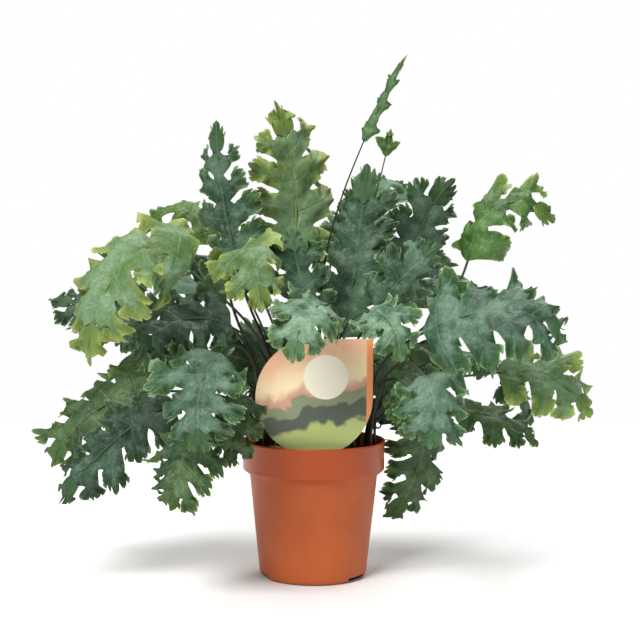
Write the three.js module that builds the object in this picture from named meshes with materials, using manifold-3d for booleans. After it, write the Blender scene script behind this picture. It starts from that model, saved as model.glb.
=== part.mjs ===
import * as THREE from 'three';
import { mergeVertices } from 'three/addons/utils/BufferGeometryUtils.js';
import Module from 'manifold-3d';

// A potted fern: blue-green, crinkled, deeply lobed fronds on thin dark stalks,
// in a thin plastic nursery pot with a printed label card.
// Millimetres and degrees, +Z up. The origin is the middle of the pot's base,
// and the front of the plant looks along -Y.

// ------------------------------------------------------------------ pot sizes

const potHeight = 115;
const rimRadius = 60;
const bandRadius = 59.4;
const bandBottom = 90.5;
const shoulderRadius = 53.5;
const shoulderBottom = 86;
const footRadius = 45;
const footHeight = 5;
const footCorner = 1;
const baseRadius = 41.5;
const wall = 1.4;
const lipRoll = 1.2;
const innerStep = 0.4;
const floorThickness = 2;
const potSides = 36;
const drainAngles = [56, -71, 172];
const drainWidth = 22;
const drainHeight = 8.8;
const drainReach = [39, 50];

// ----------------------------------------------------------------- soil sizes

const soilTop = 103;
const soilGap = 0.4;
const soilSides = 24;
const soilRings = [0.75, 0.4];
const soilLump = 1.9;
const stalkHoleRadius = 3.4;
const stalkHoleSides = 4;

// ---------------------------------------------------------------- label sizes

const labelRadius = 47.5;
const labelThickness = 0.8;
const labelCentre = [0, -43, 155];
const labelLean = 2;
const stakeWidth = 15;
const stakeTipWidth = 5;
const stakeLength = 34;
const stakeShoulder = 0.6;
const stakeGap = 0.35;

// -------------------------------------------------------------- rhizome sizes

// Creeping stems lie half sunk in the soil, each with a rounded growing tip
// that may rise out of it (degrees).
const rhizomes = [
  { from: [-20, -45], to: [-35, -37], rise: 26, radius: 5.4 },
  { from: [12, 26], to: [36, 34], rise: 0, radius: 4.8 },
  { from: [-36, 26], to: [-14, 42], rise: 0, radius: 4.6 },
];
const rhizomeSides = 9;
const rhizomeRings = 9;
const rhizomeTaper = 0.3;
const rhizomeSunk = 0.3;
const scaleRelief = 0.09;
const grooveRelief = 0.2;
const grooveGap = 0.4;

// ---------------------------------------------------------------- frond sizes

const stalkRadius = 1.3;
const stalkSides = 3;
const stalkStep = 34;
const stalkFewestSteps = 5;
const stalkFoot = 12;
const stalkFootGap = 0.4;
const stalkRise = 45;
const stalkReach = 9;
const stalkBend = 0.4;
const stalkClimb = 1.25;
const bladeHalfThickness = 0.42;
const keelDepth = 0.8;

// A lobe's waist lies a share of the way from where it leaves its neighbours to
// its tip, and the teeth and notches at its end at shares of its whole length.
const waistGrown = 0.35;
const toothShare = 0.87;
const notchShare = 0.84;
const notchAcross = 0.5;
const waistNarrowing = 0.86;
const lobeGap = 1.2;
const widestHalf = 0.4;
const endOpening = 0.08;

// The lobed part of the blade, and the lobe at its tip.
const lobedShare = 0.82;
const tipOverhang = 0.22;
const tipHalfWidth = 0.25;
const tipShares = { waist: 0.44, tooth: 0.74, notch: 0.72 };
const notchBesideTip = { turn: 0.1, reach: 0.7 };

// The side lobes sweep forward more and more toward the tip of the blade (degrees),
// and each hooks forward along its own length: by this share of the frond's width
// where it reaches as far out as that.
const sweepAtBase = 4;
const sweepAtTip = 50;
const sweepVariation = 5;
const lobeHook = 0.1;

// The longest side lobes stand a little before the middle of the blade: how much
// shorter they are at its ends, and how much shorter again toward its tip.
const endShortening = 0.38;
const ovalStart = 0.2;
const ovalSpan = 0.6;
const tipShortening = 0.42;
const lobeSpacing = 0.94;
const lobeShortest = 0.84;
const lobeLongest = 1.16;

// The most that a lobe curls down or up and twists (degrees), the height of the
// folds at its root and of the waves on its edge as shares of the frond's width,
// for a frond of ruffle 1. The lobe at the tip always nods, by a share of curlDown.
const curlDown = 65;
const curlUp = 40;
const downShare = 0.6;
const leastCurl = 0.3;
const twistMost = 38;
const pleatHeight = 0.065;
const leastPleat = 0.4;
const waveHeight = 0.055;
const waveTurns = { along: 4, across: 2 };
const leastNod = 0.2;
const mostNod = 0.8;

// The chance in each frond's shape starts from its own seed.
const firstSeed = 101;
const seedStep = 37;

// Each frond: where its stalk stands in the soil, the base, middle and tip of
// its midrib, the way its upper side faces, the length of its longest side
// lobe, its pairs of side lobes, the share of their length on which they are
// joined, how far its edges arch down (degrees), how strongly its lobes are
// ruffled, and its leaf colour.
const fronds = [
  // 1, 2: the large ruffled yellow-green pair at the upper left
  { root: [-26, -22], base: [-96, -94, 260], mid: [-140, -120, 270], tip: [-171, -129, 198],
    face: [-0.3, -0.72, 0.62], width: 52, pairs: 4, joined: 0.34, arch: 10, ruffle: 1.1, leaf: 'lime' },
  { root: [-34, -10], base: [-66, -40, 264], mid: [-52, -70, 274], tip: [-42, -88, 234],
    face: [0.1, -0.7, 0.7], width: 40, pairs: 3, joined: 0.38, arch: 20, ruffle: 0.85, leaf: 'lime' },
  // 3: upright blue frond with sharp teeth
  { root: [-22, 0], base: [-66, -5, 263], mid: [-78, 5, 322], tip: [-83, 5, 373],
    face: [-0.5, -0.8, 0.2], width: 36, pairs: 4, joined: 0.22, arch: 20, ruffle: 0.6, leaf: 'blue' },
  // 4: tall yellow-green frond, upper centre
  { root: [-8, 10], base: [-19, 15, 263], mid: [-17, 25, 323], tip: [-31, 20, 389],
    face: [0.3, -0.9, 0.3], width: 46, pairs: 4, joined: 0.36, arch: 25, ruffle: 1, leaf: 'lime' },
  // 5, 6: the big blue mass, upper right
  { root: [8, -2], base: [24, -6, 200], mid: [34, -2, 266], tip: [42, 0, 336],
    face: [-0.3, -0.9, 0.35], width: 46, pairs: 5, joined: 0.34, arch: 30, ruffle: 1, leaf: 'blue' },
  { root: [20, 6], base: [70, 25, 226], mid: [89, 42, 286], tip: [113, 48, 327],
    face: [0.5, -0.75, 0.45], width: 48, pairs: 4, joined: 0.38, arch: 30, ruffle: 1, leaf: 'blue' },
  // 7: long thin stalk with a narrow folded blade
  { root: [4, -14], base: [38, -40, 361], mid: [57, -46, 403], tip: [71, -50, 428],
    face: [-0.5, -1, 0.2], width: 10, pairs: 3, joined: 0.4, arch: 75, ruffle: 0.5, leaf: 'green' },
  // 8: very young three-lobed leaf
  { root: [12, 18], base: [60, 48, 353], mid: [62, 48, 362], tip: [64, 48, 374],
    face: [0, -1, 0.2], width: 14, pairs: 1, joined: 0.3, arch: 10, ruffle: 0.3, leaf: 'olive' },
  // 9: twisted yellow-green frond at the upper right
  { root: [32, 4], base: [128, 16, 264], mid: [156, 22, 312], tip: [202, 30, 302],
    face: [-0.5, -0.7, 0.6], width: 40, pairs: 3, joined: 0.24, arch: 50, ruffle: 0.9, leaf: 'olive' },
  // 10: large pale frond at the right
  { root: [47, -14], base: [84, -88, 212], mid: [138, -108, 230], tip: [195, -102, 214],
    face: [0.1, -0.72, 0.68], width: 52, pairs: 4, joined: 0.36, arch: 24, ruffle: 1.2, leaf: 'blue' },
  // 11: blue frond that hangs beside the label
  { root: [46, -29], base: [81, -137, 184], mid: [87, -161, 167], tip: [85, -167, 138],
    face: [0, -0.9, 0.4], width: 38, pairs: 3, joined: 0.34, arch: 18, ruffle: 0.9, leaf: 'blue' },
  // 12, 13: curled yellow-green fronds at the far right
  { root: [44, -6], base: [148, -36, 176], mid: [188, -48, 174], tip: [222, -50, 148],
    face: [0.2, -0.7, 0.6], width: 42, pairs: 3, joined: 0.28, arch: 44, ruffle: 0.9, leaf: 'lime' },
  { root: [45, 2], base: [114, 0, 142], mid: [152, 0, 134], tip: [188, 0, 114],
    face: [0.2, -0.6, 0.7], width: 28, pairs: 3, joined: 0.35, arch: 50, ruffle: 0.9, leaf: 'green' },
  // 14: green frond that hangs beside the pot
  { root: [43, 12], base: [89, 18, 146], mid: [92, 24, 96], tip: [68, 28, 44],
    face: [0.5, -0.9, 0.1], width: 42, pairs: 4, joined: 0.3, arch: 30, ruffle: 0.7, leaf: 'green' },
  // 15, 16: small pale fronds over the label
  { root: [0, -26], base: [12, -72, 232], mid: [-5, -102, 227], tip: [-16, -118, 196],
    face: [0, -0.75, 0.65], width: 36, pairs: 3, joined: 0.34, arch: 14, ruffle: 0.9, leaf: 'pale' },
  { root: [10, -22], base: [40, -62, 226], mid: [56, -88, 223], tip: [68, -98, 194],
    face: [0.1, -0.75, 0.65], width: 31, pairs: 3, joined: 0.34, arch: 14, ruffle: 0.9, leaf: 'pale' },
  // 17, 18: drooping fronds at the lower left front
  { root: [-40, -18], base: [-72, -100, 196], mid: [-86, -132, 170], tip: [-84, -138, 128],
    face: [-0.1, -0.9, 0.4], width: 42, pairs: 4, joined: 0.34, arch: 18, ruffle: 1, leaf: 'blue' },
  { root: [-45, -12], base: [-96, -76, 138], mid: [-102, -100, 110], tip: [-112, -106, 80],
    face: [-0.3, -0.9, 0.3], width: 38, pairs: 4, joined: 0.36, arch: 35, ruffle: 0.9, leaf: 'green' },
  // 19, 20: far left fronds, low
  { root: [-44, 6], base: [-137, 0, 154], mid: [-180, 0, 140], tip: [-220, 0, 97],
    face: [-0.2, -0.8, 0.6], width: 44, pairs: 4, joined: 0.36, arch: 40, ruffle: 0.8, leaf: 'green' },
  { root: [-40, -2], base: [-112, -38, 150], mid: [-156, -48, 124], tip: [-206, -46, 72],
    face: [-0.2, -0.8, 0.5], width: 38, pairs: 4, joined: 0.32, arch: 40, ruffle: 0.8, leaf: 'dark' },
  // 21: far left frond, upper
  { root: [-38, 14], base: [-140, 20, 204], mid: [-183, 30, 218], tip: [-222, 35, 230],
    face: [-0.1, -0.6, 0.8], width: 36, pairs: 4, joined: 0.3, arch: 40, ruffle: 0.8, leaf: 'dark' },
  // 22: middle left
  { root: [-30, -14], base: [-66, -46, 212], mid: [-102, -68, 220], tip: [-138, -76, 196],
    face: [-0.1, -0.75, 0.65], width: 48, pairs: 4, joined: 0.34, arch: 18, ruffle: 1, leaf: 'blue' },
  // 23: arching lobe behind, upper left
  { root: [-28, 16], base: [-84, 45, 276], mid: [-119, 58, 308], tip: [-156, 66, 284],
    face: [-0.2, -0.5, 0.9], width: 26, pairs: 3, joined: 0.36, arch: 60, ruffle: 0.7, leaf: 'olive' },
  // 24: pale frond in the middle
  { root: [-10, -16], base: [-2, -28, 212], mid: [-12, -38, 252], tip: [-18, -42, 286],
    face: [0, -0.9, 0.4], width: 36, pairs: 3, joined: 0.34, arch: 30, ruffle: 1, leaf: 'blue' },
  // 25: between the label and the right-hand frond
  { root: [24, -12], base: [50, -32, 226], mid: [72, -36, 254], tip: [98, -36, 276],
    face: [0.1, -0.95, 0.3], width: 34, pairs: 3, joined: 0.34, arch: 35, ruffle: 0.9, leaf: 'blue' },
  // 26, 27: beside the label, low
  { root: [50, -20], base: [68, -40, 170], mid: [80, -56, 160], tip: [90, -68, 126],
    face: [0.2, -0.9, 0.4], width: 34, pairs: 3, joined: 0.4, arch: 24, ruffle: 0.8, leaf: 'green' },
  { root: [-47, -20], base: [-56, -56, 158], mid: [-62, -76, 142], tip: [-66, -82, 108],
    face: [-0.2, -0.9, 0.4], width: 28, pairs: 3, joined: 0.4, arch: 18, ruffle: 0.9, leaf: 'green' },
  // 28: inside, left of the label
  { root: [-14, -2], base: [-24, 4, 164], mid: [-52, 4, 178], tip: [-84, 2, 186],
    face: [-0.1, -1, 0.3], width: 42, pairs: 3, joined: 0.4, arch: 8, ruffle: 0.6, leaf: 'green' },
  // 29 to 37: the back of the plant
  { root: [-20, 28], base: [-50, 78, 236], mid: [-82, 128, 262], tip: [-118, 156, 226],
    face: [-0.3, 0.6, 0.8], width: 50, pairs: 3, joined: 0.36, arch: 45, ruffle: 0.9, leaf: 'blue' },
  { root: [2, 26], base: [14, 84, 262], mid: [26, 136, 290], tip: [36, 180, 248],
    face: [0.1, 0.6, 0.8], width: 52, pairs: 3, joined: 0.36, arch: 45, ruffle: 0.9, leaf: 'blue' },
  { root: [26, 22], base: [78, 71, 228], mid: [120, 112, 246], tip: [162, 136, 206],
    face: [0.4, 0.5, 0.8], width: 50, pairs: 3, joined: 0.36, arch: 45, ruffle: 0.9, leaf: 'blue' },
  { root: [-34, 22], base: [-96, 62, 184], mid: [-142, 96, 184], tip: [-180, 116, 136],
    face: [-0.4, 0.6, 0.7], width: 46, pairs: 3, joined: 0.4, arch: 45, ruffle: 0.9, leaf: 'green' },
  { root: [-10, 36], base: [-26, 90, 190], mid: [-38, 142, 190], tip: [-52, 172, 134],
    face: [-0.1, 0.8, 0.6], width: 50, pairs: 3, joined: 0.4, arch: 45, ruffle: 0.9, leaf: 'blue' },
  { root: [22, 36], base: [56, 88, 180], mid: [84, 136, 176], tip: [104, 160, 120],
    face: [0.3, 0.8, 0.5], width: 46, pairs: 3, joined: 0.4, arch: 45, ruffle: 0.9, leaf: 'green' },
  { root: [44, 22], base: [108, 56, 178], mid: [156, 76, 176], tip: [194, 84, 124],
    face: [0.5, 0.3, 0.8], width: 44, pairs: 3, joined: 0.4, arch: 45, ruffle: 0.9, leaf: 'blue' },
  { root: [-30, 22], base: [-98, 46, 232], mid: [-142, 74, 250], tip: [-180, 88, 210],
    face: [-0.3, 0.2, 0.9], width: 44, pairs: 3, joined: 0.36, arch: 45, ruffle: 0.9, leaf: 'blue' },
  { root: [6, 18], base: [34, 62, 288], mid: [54, 92, 326], tip: [72, 124, 334],
    face: [-0.1, -0.5, 0.9], width: 44, pairs: 3, joined: 0.36, arch: 40, ruffle: 0.9, leaf: 'blue' },
  // 38: inside, behind the label on its right
  { root: [38, 18], base: [57, 18, 124], mid: [64, 18, 160], tip: [65, 18, 192],
    face: [0.1, -1, 0.2], width: 27, pairs: 3, joined: 0.4, arch: 18, ruffle: 0.8, leaf: 'dark' },
  // 39: inside, in front of it
  { root: [36, -9], base: [57, -6, 148], mid: [62, -6, 170], tip: [64, -6, 191],
    face: [0.1, -1, 0.2], width: 25, pairs: 3, joined: 0.34, arch: 10, ruffle: 0.7, leaf: 'green' },
];

// ------------------------------------------------------------------ materials

const potPlastic = () => new THREE.MeshStandardMaterial({ color: 0xb2603c, roughness: 0.4 });
const peat = () => new THREE.MeshStandardMaterial({ color: 0x2c2019, roughness: 0.95 });
const labelCard = () => new THREE.MeshStandardMaterial({ color: 0xd9a878, roughness: 0.35 });
const rhizomeScale = () => new THREE.MeshStandardMaterial({ color: 0xb9822e, roughness: 0.85 });
const leafColours = {
  blue: 0x5a8076, pale: 0x7f9f8a, green: 0x4f7a4c, dark: 0x3f5f4c, lime: 0x93ad58, olive: 0x6c8a3e,
};
const leafSkin = (leaf) => new THREE.MeshStandardMaterial({ color: leafColours[leaf], roughness: 0.6 });

// -------------------------------------------------------------- small helpers

const wasm = await Module();
wasm.setup();

const radians = (degrees) => (degrees * Math.PI) / 180;
const vector = (list) => new THREE.Vector3(...list);

// The same seed always gives the same run of numbers between 0 and 1.
function seededRandom(seed) {
  let state = (seed * 48271) % 2147483647;
  return () => {
    state = (state * 16807) % 2147483647;
    return state / 2147483647;
  };
}

// A closed geometry with shared corners merged and folded triangles left out.
function weld(geometry) {
  const bare = geometry.clone();
  bare.deleteAttribute('normal');
  bare.deleteAttribute('uv');
  const merged = mergeVertices(bare, 1e-3);
  const corners = merged.index.array;
  const kept = [];
  for (let i = 0; i < corners.length; i += 3) {
    const [a, b, c] = [corners[i], corners[i + 1], corners[i + 2]];
    if (a !== b && b !== c && c !== a) kept.push(a, b, c);
  }
  merged.setIndex(kept);
  return merged;
}

function solidFrom(geometry) {
  const welded = weld(geometry);
  return new wasm.Manifold(new wasm.Mesh({
    numProp: 3,
    vertProperties: Float32Array.from(welded.attributes.position.array),
    triVerts: Uint32Array.from(welded.index.array),
  }));
}

function geometryFrom(solid) {
  const { vertProperties, triVerts } = solid.getMesh();
  const geometry = new THREE.BufferGeometry();
  geometry.setAttribute('position', new THREE.BufferAttribute(vertProperties, 3));
  geometry.setIndex(new THREE.BufferAttribute(triVerts, 1));
  geometry.computeVertexNormals();
  return geometry;
}

// A body turned round +Z from [radius, height] points, outside faces out.
function turned(profile, sides) {
  const points = profile.map(([radius, height]) => new THREE.Vector2(radius, height));
  return new THREE.LatheGeometry(points, sides).rotateX(Math.PI / 2);
}

function addPiece(group, name, geometry, material) {
  const piece = new THREE.Mesh(geometry, material);
  piece.name = name;
  group.add(piece);
}

// ------------------------------------------------------------------------ pot

// The outside of the pot's wall, from its base up to the lip.
const potOutside = [
  [baseRadius, 0],
  [footRadius - footCorner, footHeight / 3],
  [footRadius, footHeight],
  [shoulderRadius, shoulderBottom],
  [bandRadius, bandBottom],
  [rimRadius - lipRoll / 2, potHeight - lipRoll * 2],
  [rimRadius, potHeight - lipRoll],
  [rimRadius - lipRoll / 3, potHeight],
];

function buildPot() {
  const inside = [
    [rimRadius - lipRoll / 3 - wall, potHeight],
    [bandRadius - wall, bandBottom + innerStep],
    [shoulderRadius - wall, shoulderBottom + innerStep],
    [baseRadius - wall, floorThickness],
  ];
  const profile = [[0, 0], ...potOutside, ...inside, [0, floorThickness]];
  let solid = solidFrom(turned(profile, potSides));
  const [near, far] = drainReach;
  for (const angle of drainAngles) {
    const slot = new THREE.BoxGeometry(drainWidth, far - near, drainHeight);
    slot.translate(0, -(near + far) / 2, 0).rotateZ(radians(angle));
    solid = solid.subtract(solidFrom(slot));
  }
  return geometryFrom(solid);
}

// ---------------------------------------------------------------------- label

// A disc whose upper right corner is squared, on a short pointed stake.
function labelShape(grow) {
  const r = labelRadius;
  const half = stakeWidth / 2 + grow;
  const join = Math.asin(half / r);
  const shape = new THREE.Shape();
  shape.moveTo(0, r);
  shape.absarc(0, 0, r, Math.PI / 2, Math.PI * 1.5 - join, false);
  shape.lineTo(-half, -r - stakeLength * stakeShoulder);
  shape.lineTo(-stakeTipWidth / 2 - grow, -r - stakeLength - grow);
  shape.lineTo(stakeTipWidth / 2 + grow, -r - stakeLength - grow);
  shape.lineTo(half, -r - stakeLength * stakeShoulder);
  shape.absarc(0, 0, r, -Math.PI / 2 + join, 0, false);
  shape.lineTo(r, r);
  shape.closePath();
  return shape;
}

function labelSolid(grow) {
  const depth = labelThickness + 2 * grow;
  const options = { depth, bevelEnabled: false, curveSegments: 12 };
  const card = new THREE.ExtrudeGeometry(labelShape(grow), options);
  card.translate(0, 0, -depth / 2).rotateX(Math.PI / 2 - radians(labelLean));
  card.translate(...labelCentre);
  return solidFrom(card);
}

// ------------------------------------------------------------------- rhizomes

// A stem with rings of overlapping scales, rounded at both ends, that runs from
// just above the soil towards its tip.
function rhizomeGeometry({ from, to, rise, radius }, grow, relief) {
  const length = Math.hypot(to[0] - from[0], to[1] - from[1]) / Math.cos(radians(rise));
  const profile = [[0, -grow]];
  for (let ring = 1; ring < rhizomeRings; ring += 1) {
    const share = ring / rhizomeRings;
    const round = Math.sqrt(Math.sin(Math.PI * share));
    const swell = 1 - rhizomeTaper * share + relief * (ring % 2);
    profile.push([radius * round * swell + grow, length * share]);
  }
  profile.push([0, length + grow]);
  const heading = Math.atan2(to[1] - from[1], to[0] - from[0]);
  const body = turned(profile, rhizomeSides).rotateY(Math.PI / 2 - radians(rise)).rotateZ(heading);
  return body.translate(from[0], from[1], soilTop + radius * rhizomeSunk);
}

// ----------------------------------------------------------------------- soil

const soilHeightAt = (x, y) => soilTop
  + soilLump * (Math.sin(x * 0.21 + y * 0.13) * Math.cos(y * 0.27 - x * 0.08)
  + 0.5 * Math.sin(x * 0.53 - y * 0.41));

function buildSoil(label) {
  const bandSlope = (bandRadius - shoulderRadius) / (bandBottom - shoulderBottom);
  const edge = bandRadius - wall - soilGap * 2;
  const neck = shoulderRadius - wall - soilGap * 2;
  const profile = [
    [0, floorThickness + soilGap],
    [baseRadius - wall - soilGap * 2, floorThickness + soilGap],
    [neck, shoulderBottom + innerStep],
    [edge, bandBottom + innerStep + soilGap * bandSlope],
    [edge, soilTop],
    ...soilRings.map((share) => [edge * share, soilTop]),
    [0, soilTop],
  ];
  const plug = turned(profile, soilSides);
  const place = plug.attributes.position;
  for (let i = 0; i < place.count; i += 1) {
    const [x, y] = [place.getX(i), place.getY(i)];
    const onTop = place.getZ(i) > soilTop - soilGap && Math.hypot(x, y) < edge - soilGap;
    if (onTop) place.setZ(i, soilHeightAt(x, y));
  }
  let solid = solidFrom(plug);
  const holeBottom = soilTop - stalkFoot - stalkFootGap;
  const holeTop = soilTop + soilLump * 4;
  for (const { root } of fronds) {
    const hole = new THREE.CylinderGeometry(
      stalkHoleRadius, stalkHoleRadius, holeTop - holeBottom, stalkHoleSides);
    hole.rotateX(Math.PI / 2).translate(root[0], root[1], (holeTop + holeBottom) / 2);
    solid = solid.subtract(solidFrom(hole));
  }
  for (const rhizome of rhizomes) {
    solid = solid.subtract(solidFrom(rhizomeGeometry(rhizome, grooveGap, grooveRelief)));
  }
  return geometryFrom(solid.subtract(label));
}

// --------------------------------------------------------------------- fronds

// The stalk rises straight out of the soil, bends over to the blade's base and
// runs on for a short way under the midrib.
class StalkPath extends THREE.Curve {
  constructor(root, base, along, under) {
    super();
    const foot = new THREE.Vector3(root[0], root[1], soilTop - stalkFoot);
    const collar = new THREE.Vector3(root[0], root[1], soilTop);
    const end = base.clone().add(under);
    const reach = collar.distanceTo(end) * stalkBend;
    const rise = collar.clone().add(new THREE.Vector3(0, 0, Math.max(reach * stalkClimb, stalkRise)));
    const lead = end.clone().addScaledVector(along, -reach);
    const last = end.clone().addScaledVector(along, stalkReach);
    this.path = new THREE.CurvePath();
    this.path.add(new THREE.LineCurve3(foot, collar));
    this.path.add(new THREE.CubicBezierCurve3(collar, rise, lead, end));
    this.path.add(new THREE.LineCurve3(end, last));
  }

  getPoint(share, target = new THREE.Vector3()) {
    return target.copy(this.path.getPoint(share));
  }
}

// Where a point of the flat blade lies in space: along the bent midrib, out to
// the side on an arch, and lifted off the leaf's surface.
function bladeSurface({ base, mid, tip, face, width, arch }) {
  const ends = [vector(base), vector(tip)];
  const handle = vector(mid).multiplyScalar(2).addScaledVector(ends[0], -0.5).addScaledVector(ends[1], -0.5);
  const midrib = new THREE.QuadraticBezierCurve3(ends[0], handle, ends[1]);
  const length = midrib.getLength();
  const bend = radians(arch) / width;
  const place = (run, out, lift) => {
    const share = Math.min(Math.max(run / length, 0), 1);
    const along = midrib.getTangentAt(share);
    const up = vector(face).addScaledVector(along, -along.dot(vector(face))).normalize();
    const side = along.clone().cross(up);
    const turn = bend * out;
    const sideways = (bend > 0 ? Math.sin(turn) / bend : out) + lift * Math.sin(turn);
    const upward = (bend > 0 ? (Math.cos(turn) - 1) / bend : 0) + lift * Math.cos(turn);
    return midrib.getPointAt(share)
      .addScaledVector(along, run - share * length)
      .addScaledVector(side, sideways)
      .addScaledVector(up, upward);
  };
  return { length, place };
}

// The lobes of one side of the blade, from its base to its tip.
function planLobes(frond, length, random) {
  const { pairs, width, joined, ruffle } = frond;
  const border = (i) => length * lobedShare * (i / pairs) ** lobeSpacing;
  const between = (low, high) => low + (high - low) * random();
  const lobes = [];
  for (let i = 0; i < pairs; i += 1) {
    const centre = (border(i) + border(i + 1)) / 2;
    const share = centre / length;
    const oval = 1 - endShortening + endShortening * Math.sin(Math.PI * (ovalStart + ovalSpan * share));
    const sweep = sweepAtBase + (sweepAtTip - sweepAtBase) * share + sweepVariation * (random() - 0.5);
    const curl = (random() < downShare ? -curlDown : curlUp) * between(leastCurl, 1);
    lobes.push({
      from: border(i),
      to: border(i + 1),
      centre,
      joined,
      sweep: radians(sweep),
      length: width * oval * (1 - tipShortening * share ** 2) * between(lobeShortest, lobeLongest),
      curl: radians(curl) * ruffle,
      twist: radians(twistMost) * between(-1, 1) * ruffle,
      pleat: width * pleatHeight * between(leastPleat, 1) * ruffle,
      wave: width * waveHeight * ruffle,
      waveStart: random() * Math.PI * 2,
      besideTip: width * tipHalfWidth + lobeGap,
    });
  }
  lobes.forEach((lobe, i) => {
    lobe.rear = roomBetween(lobe, lobes[i - 1]);
    lobe.front = roomBetween(lobe, lobes[i + 1]);
  });
  return lobes;
}

// Half the room between the veins of two neighbouring lobes: at the midrib, and
// how much it opens for each millimetre away from it.
function roomBetween(lobe, other) {
  if (!other) return { atMidrib: (lobe.to - lobe.from) / 2 * Math.cos(lobe.sweep), opening: endOpening };
  const angle = (other.sweep - lobe.sweep) * Math.sign(other.centre - lobe.centre);
  const apart = Math.abs(other.centre - lobe.centre);
  return { atMidrib: apart * Math.cos(other.sweep) / (1 + Math.cos(angle)), opening: Math.tan(angle / 2) };
}

// A point of a side lobe as [run, out, lift]: the way along the midrib, the way
// out from it and the height above the leaf's surface. reachShare runs from 0 at
// the midrib to 1 at the lobe's tip, and across from -1 to 1 over its width, of
// which it keeps the given share. Past the notches beside it a lobe curls on an
// arc and twists about its vein.
function lobePoint(lobe, reachShare, across, kept) {
  const { joined } = lobe;
  const grown = Math.max(0, (reachShare - joined) / (1 - joined));
  const arc = (1 - joined) * lobe.length / lobe.curl;
  const forward = Math.min(reachShare, joined) * lobe.length + arc * Math.sin(lobe.curl * grown);
  const room = across < 0 ? lobe.rear : lobe.front;
  const free = Math.min(room.atMidrib + room.opening * forward - lobeGap / 2, lobe.length * widestHalf);
  const beside = across > 0 ? (forward * Math.cos(lobe.sweep) - lobe.besideTip) / Math.sin(lobe.sweep) : free;
  const half = Math.min(free * kept, Math.max(beside, 0));
  const sideways = across * half * Math.cos(lobe.twist * grown);
  const fold = lobe.pleat * (1 - Math.abs(across)) * (grown > 0 ? 1 - grown : reachShare / joined);
  const ripple = Math.sin(lobe.waveStart + waveTurns.along * grown + waveTurns.across * across);
  const lift = arc * (1 - Math.cos(lobe.curl * grown)) + fold
    + across * half * Math.sin(lobe.twist * grown)
    + lobe.wave * grown * across ** 2 * ripple;
  return [
    lobe.centre + forward * Math.sin(lobe.sweep) + sideways * Math.cos(lobe.sweep),
    forward * Math.cos(lobe.sweep) - sideways * Math.sin(lobe.sweep),
    lift,
  ];
}

// The bottom of the notch in front of a lobe, beside the next one or the tip.
function notchPoint(lobe, next, dip) {
  const turn = next ? (next.sweep - lobe.sweep) / 2 : (Math.PI / 2 - lobe.sweep) * notchBesideTip.turn;
  const sweep = lobe.sweep + turn;
  const reach = lobe.joined * (next ? (lobe.length + next.length) / 2 : lobe.length * notchBesideTip.reach);
  return [lobe.to + reach * Math.sin(sweep), reach * Math.cos(sweep), dip];
}

// The open sheet of one blade: corner points, triangles and which corners lie
// on the midrib.
function bladeSheet(frond, seed) {
  const random = seededRandom(seed);
  const { length, place } = bladeSurface(frond);
  const corners = [];
  const triangles = [];
  const onMidrib = new Map();
  const hook = lobeHook / frond.width;
  const corner = (run, out, lift) => corners.push(place(run + hook * out ** 2, out, lift)) - 1;
  const rib = (run) => {
    if (!onMidrib.has(run)) onMidrib.set(run, corner(run, 0, 0));
    return onMidrib.get(run);
  };
  const start = length * lobedShare;
  const reach = length * (1 - lobedShare) + frond.width * tipOverhang;
  const nod = radians(-curlDown) * frond.ruffle * (leastNod + (mostNod - leastNod) * random());
  // a point of the lobe at the tip, which curls down on an arc
  const tipCorner = (share, across) => {
    const narrowing = share <= tipShares.waist ? waistNarrowing : 1;
    const out = across * frond.width * tipHalfWidth * narrowing;
    return corner(
      start + Math.sin(nod * share) * reach / nod, out, (1 - Math.cos(nod * share)) * reach / nod);
  };
  const tip = { waist: tipCorner(tipShares.waist, 0), apex: tipCorner(1, 0) };

  for (const side of [-1, 1]) {
    const triangle = (a, b, c) => triangles.push(side > 0 ? [a, b, c] : [a, c, b]);
    const quad = (a, b, c, d) => {
      triangle(a, b, c);
      triangle(a, c, d);
    };
    const sided = ([run, out, lift]) => corner(run, side * out, lift);
    const lobes = planLobes(frond, length, random);
    let behind = sided([stalkRadius, stalkRadius * 2, 0]);
    lobes.forEach((lobe, i) => {
      const at = (reachShare, across, kept = 1) => sided(lobePoint(lobe, reachShare, across, kept));
      const dip = 2 * frond.width * pleatHeight * frond.ruffle * (random() - 0.5);
      const ahead = sided(notchPoint(lobe, lobes[i + 1], dip));
      const middle = at(frond.joined, 0);
      const waistShare = frond.joined + (1 - frond.joined) * waistGrown;
      const waist = [-1, 0, 1].map((across) => at(waistShare, across, waistNarrowing));
      const tooth = [at(toothShare, -1), at(toothShare, 1)];
      const notch = [at(notchShare, -notchAcross), at(notchShare, notchAcross)];
      quad(rib(lobe.from), rib(lobe.centre), middle, behind);
      quad(rib(lobe.centre), rib(lobe.to), ahead, middle);
      quad(behind, middle, waist[1], waist[0]);
      quad(middle, ahead, waist[2], waist[1]);
      const end = [waist[0], tooth[0], notch[0], at(1, 0), notch[1], tooth[1], waist[2]];
      for (let k = 1; k < end.length; k += 1) triangle(waist[1], end[k], end[k - 1]);
      behind = ahead;
    });
    const edge = tipCorner(tipShares.waist, side);
    const tooth = tipCorner(tipShares.tooth, side);
    const notch = tipCorner(tipShares.notch, side * notchAcross);
    quad(rib(start), tip.waist, edge, behind);
    triangle(tip.waist, tooth, edge);
    triangle(tip.waist, notch, tooth);
    triangle(tip.waist, tip.apex, notch);
  }
  return { corners, triangles, onMidrib: new Set(onMidrib.values()) };
}

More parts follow.
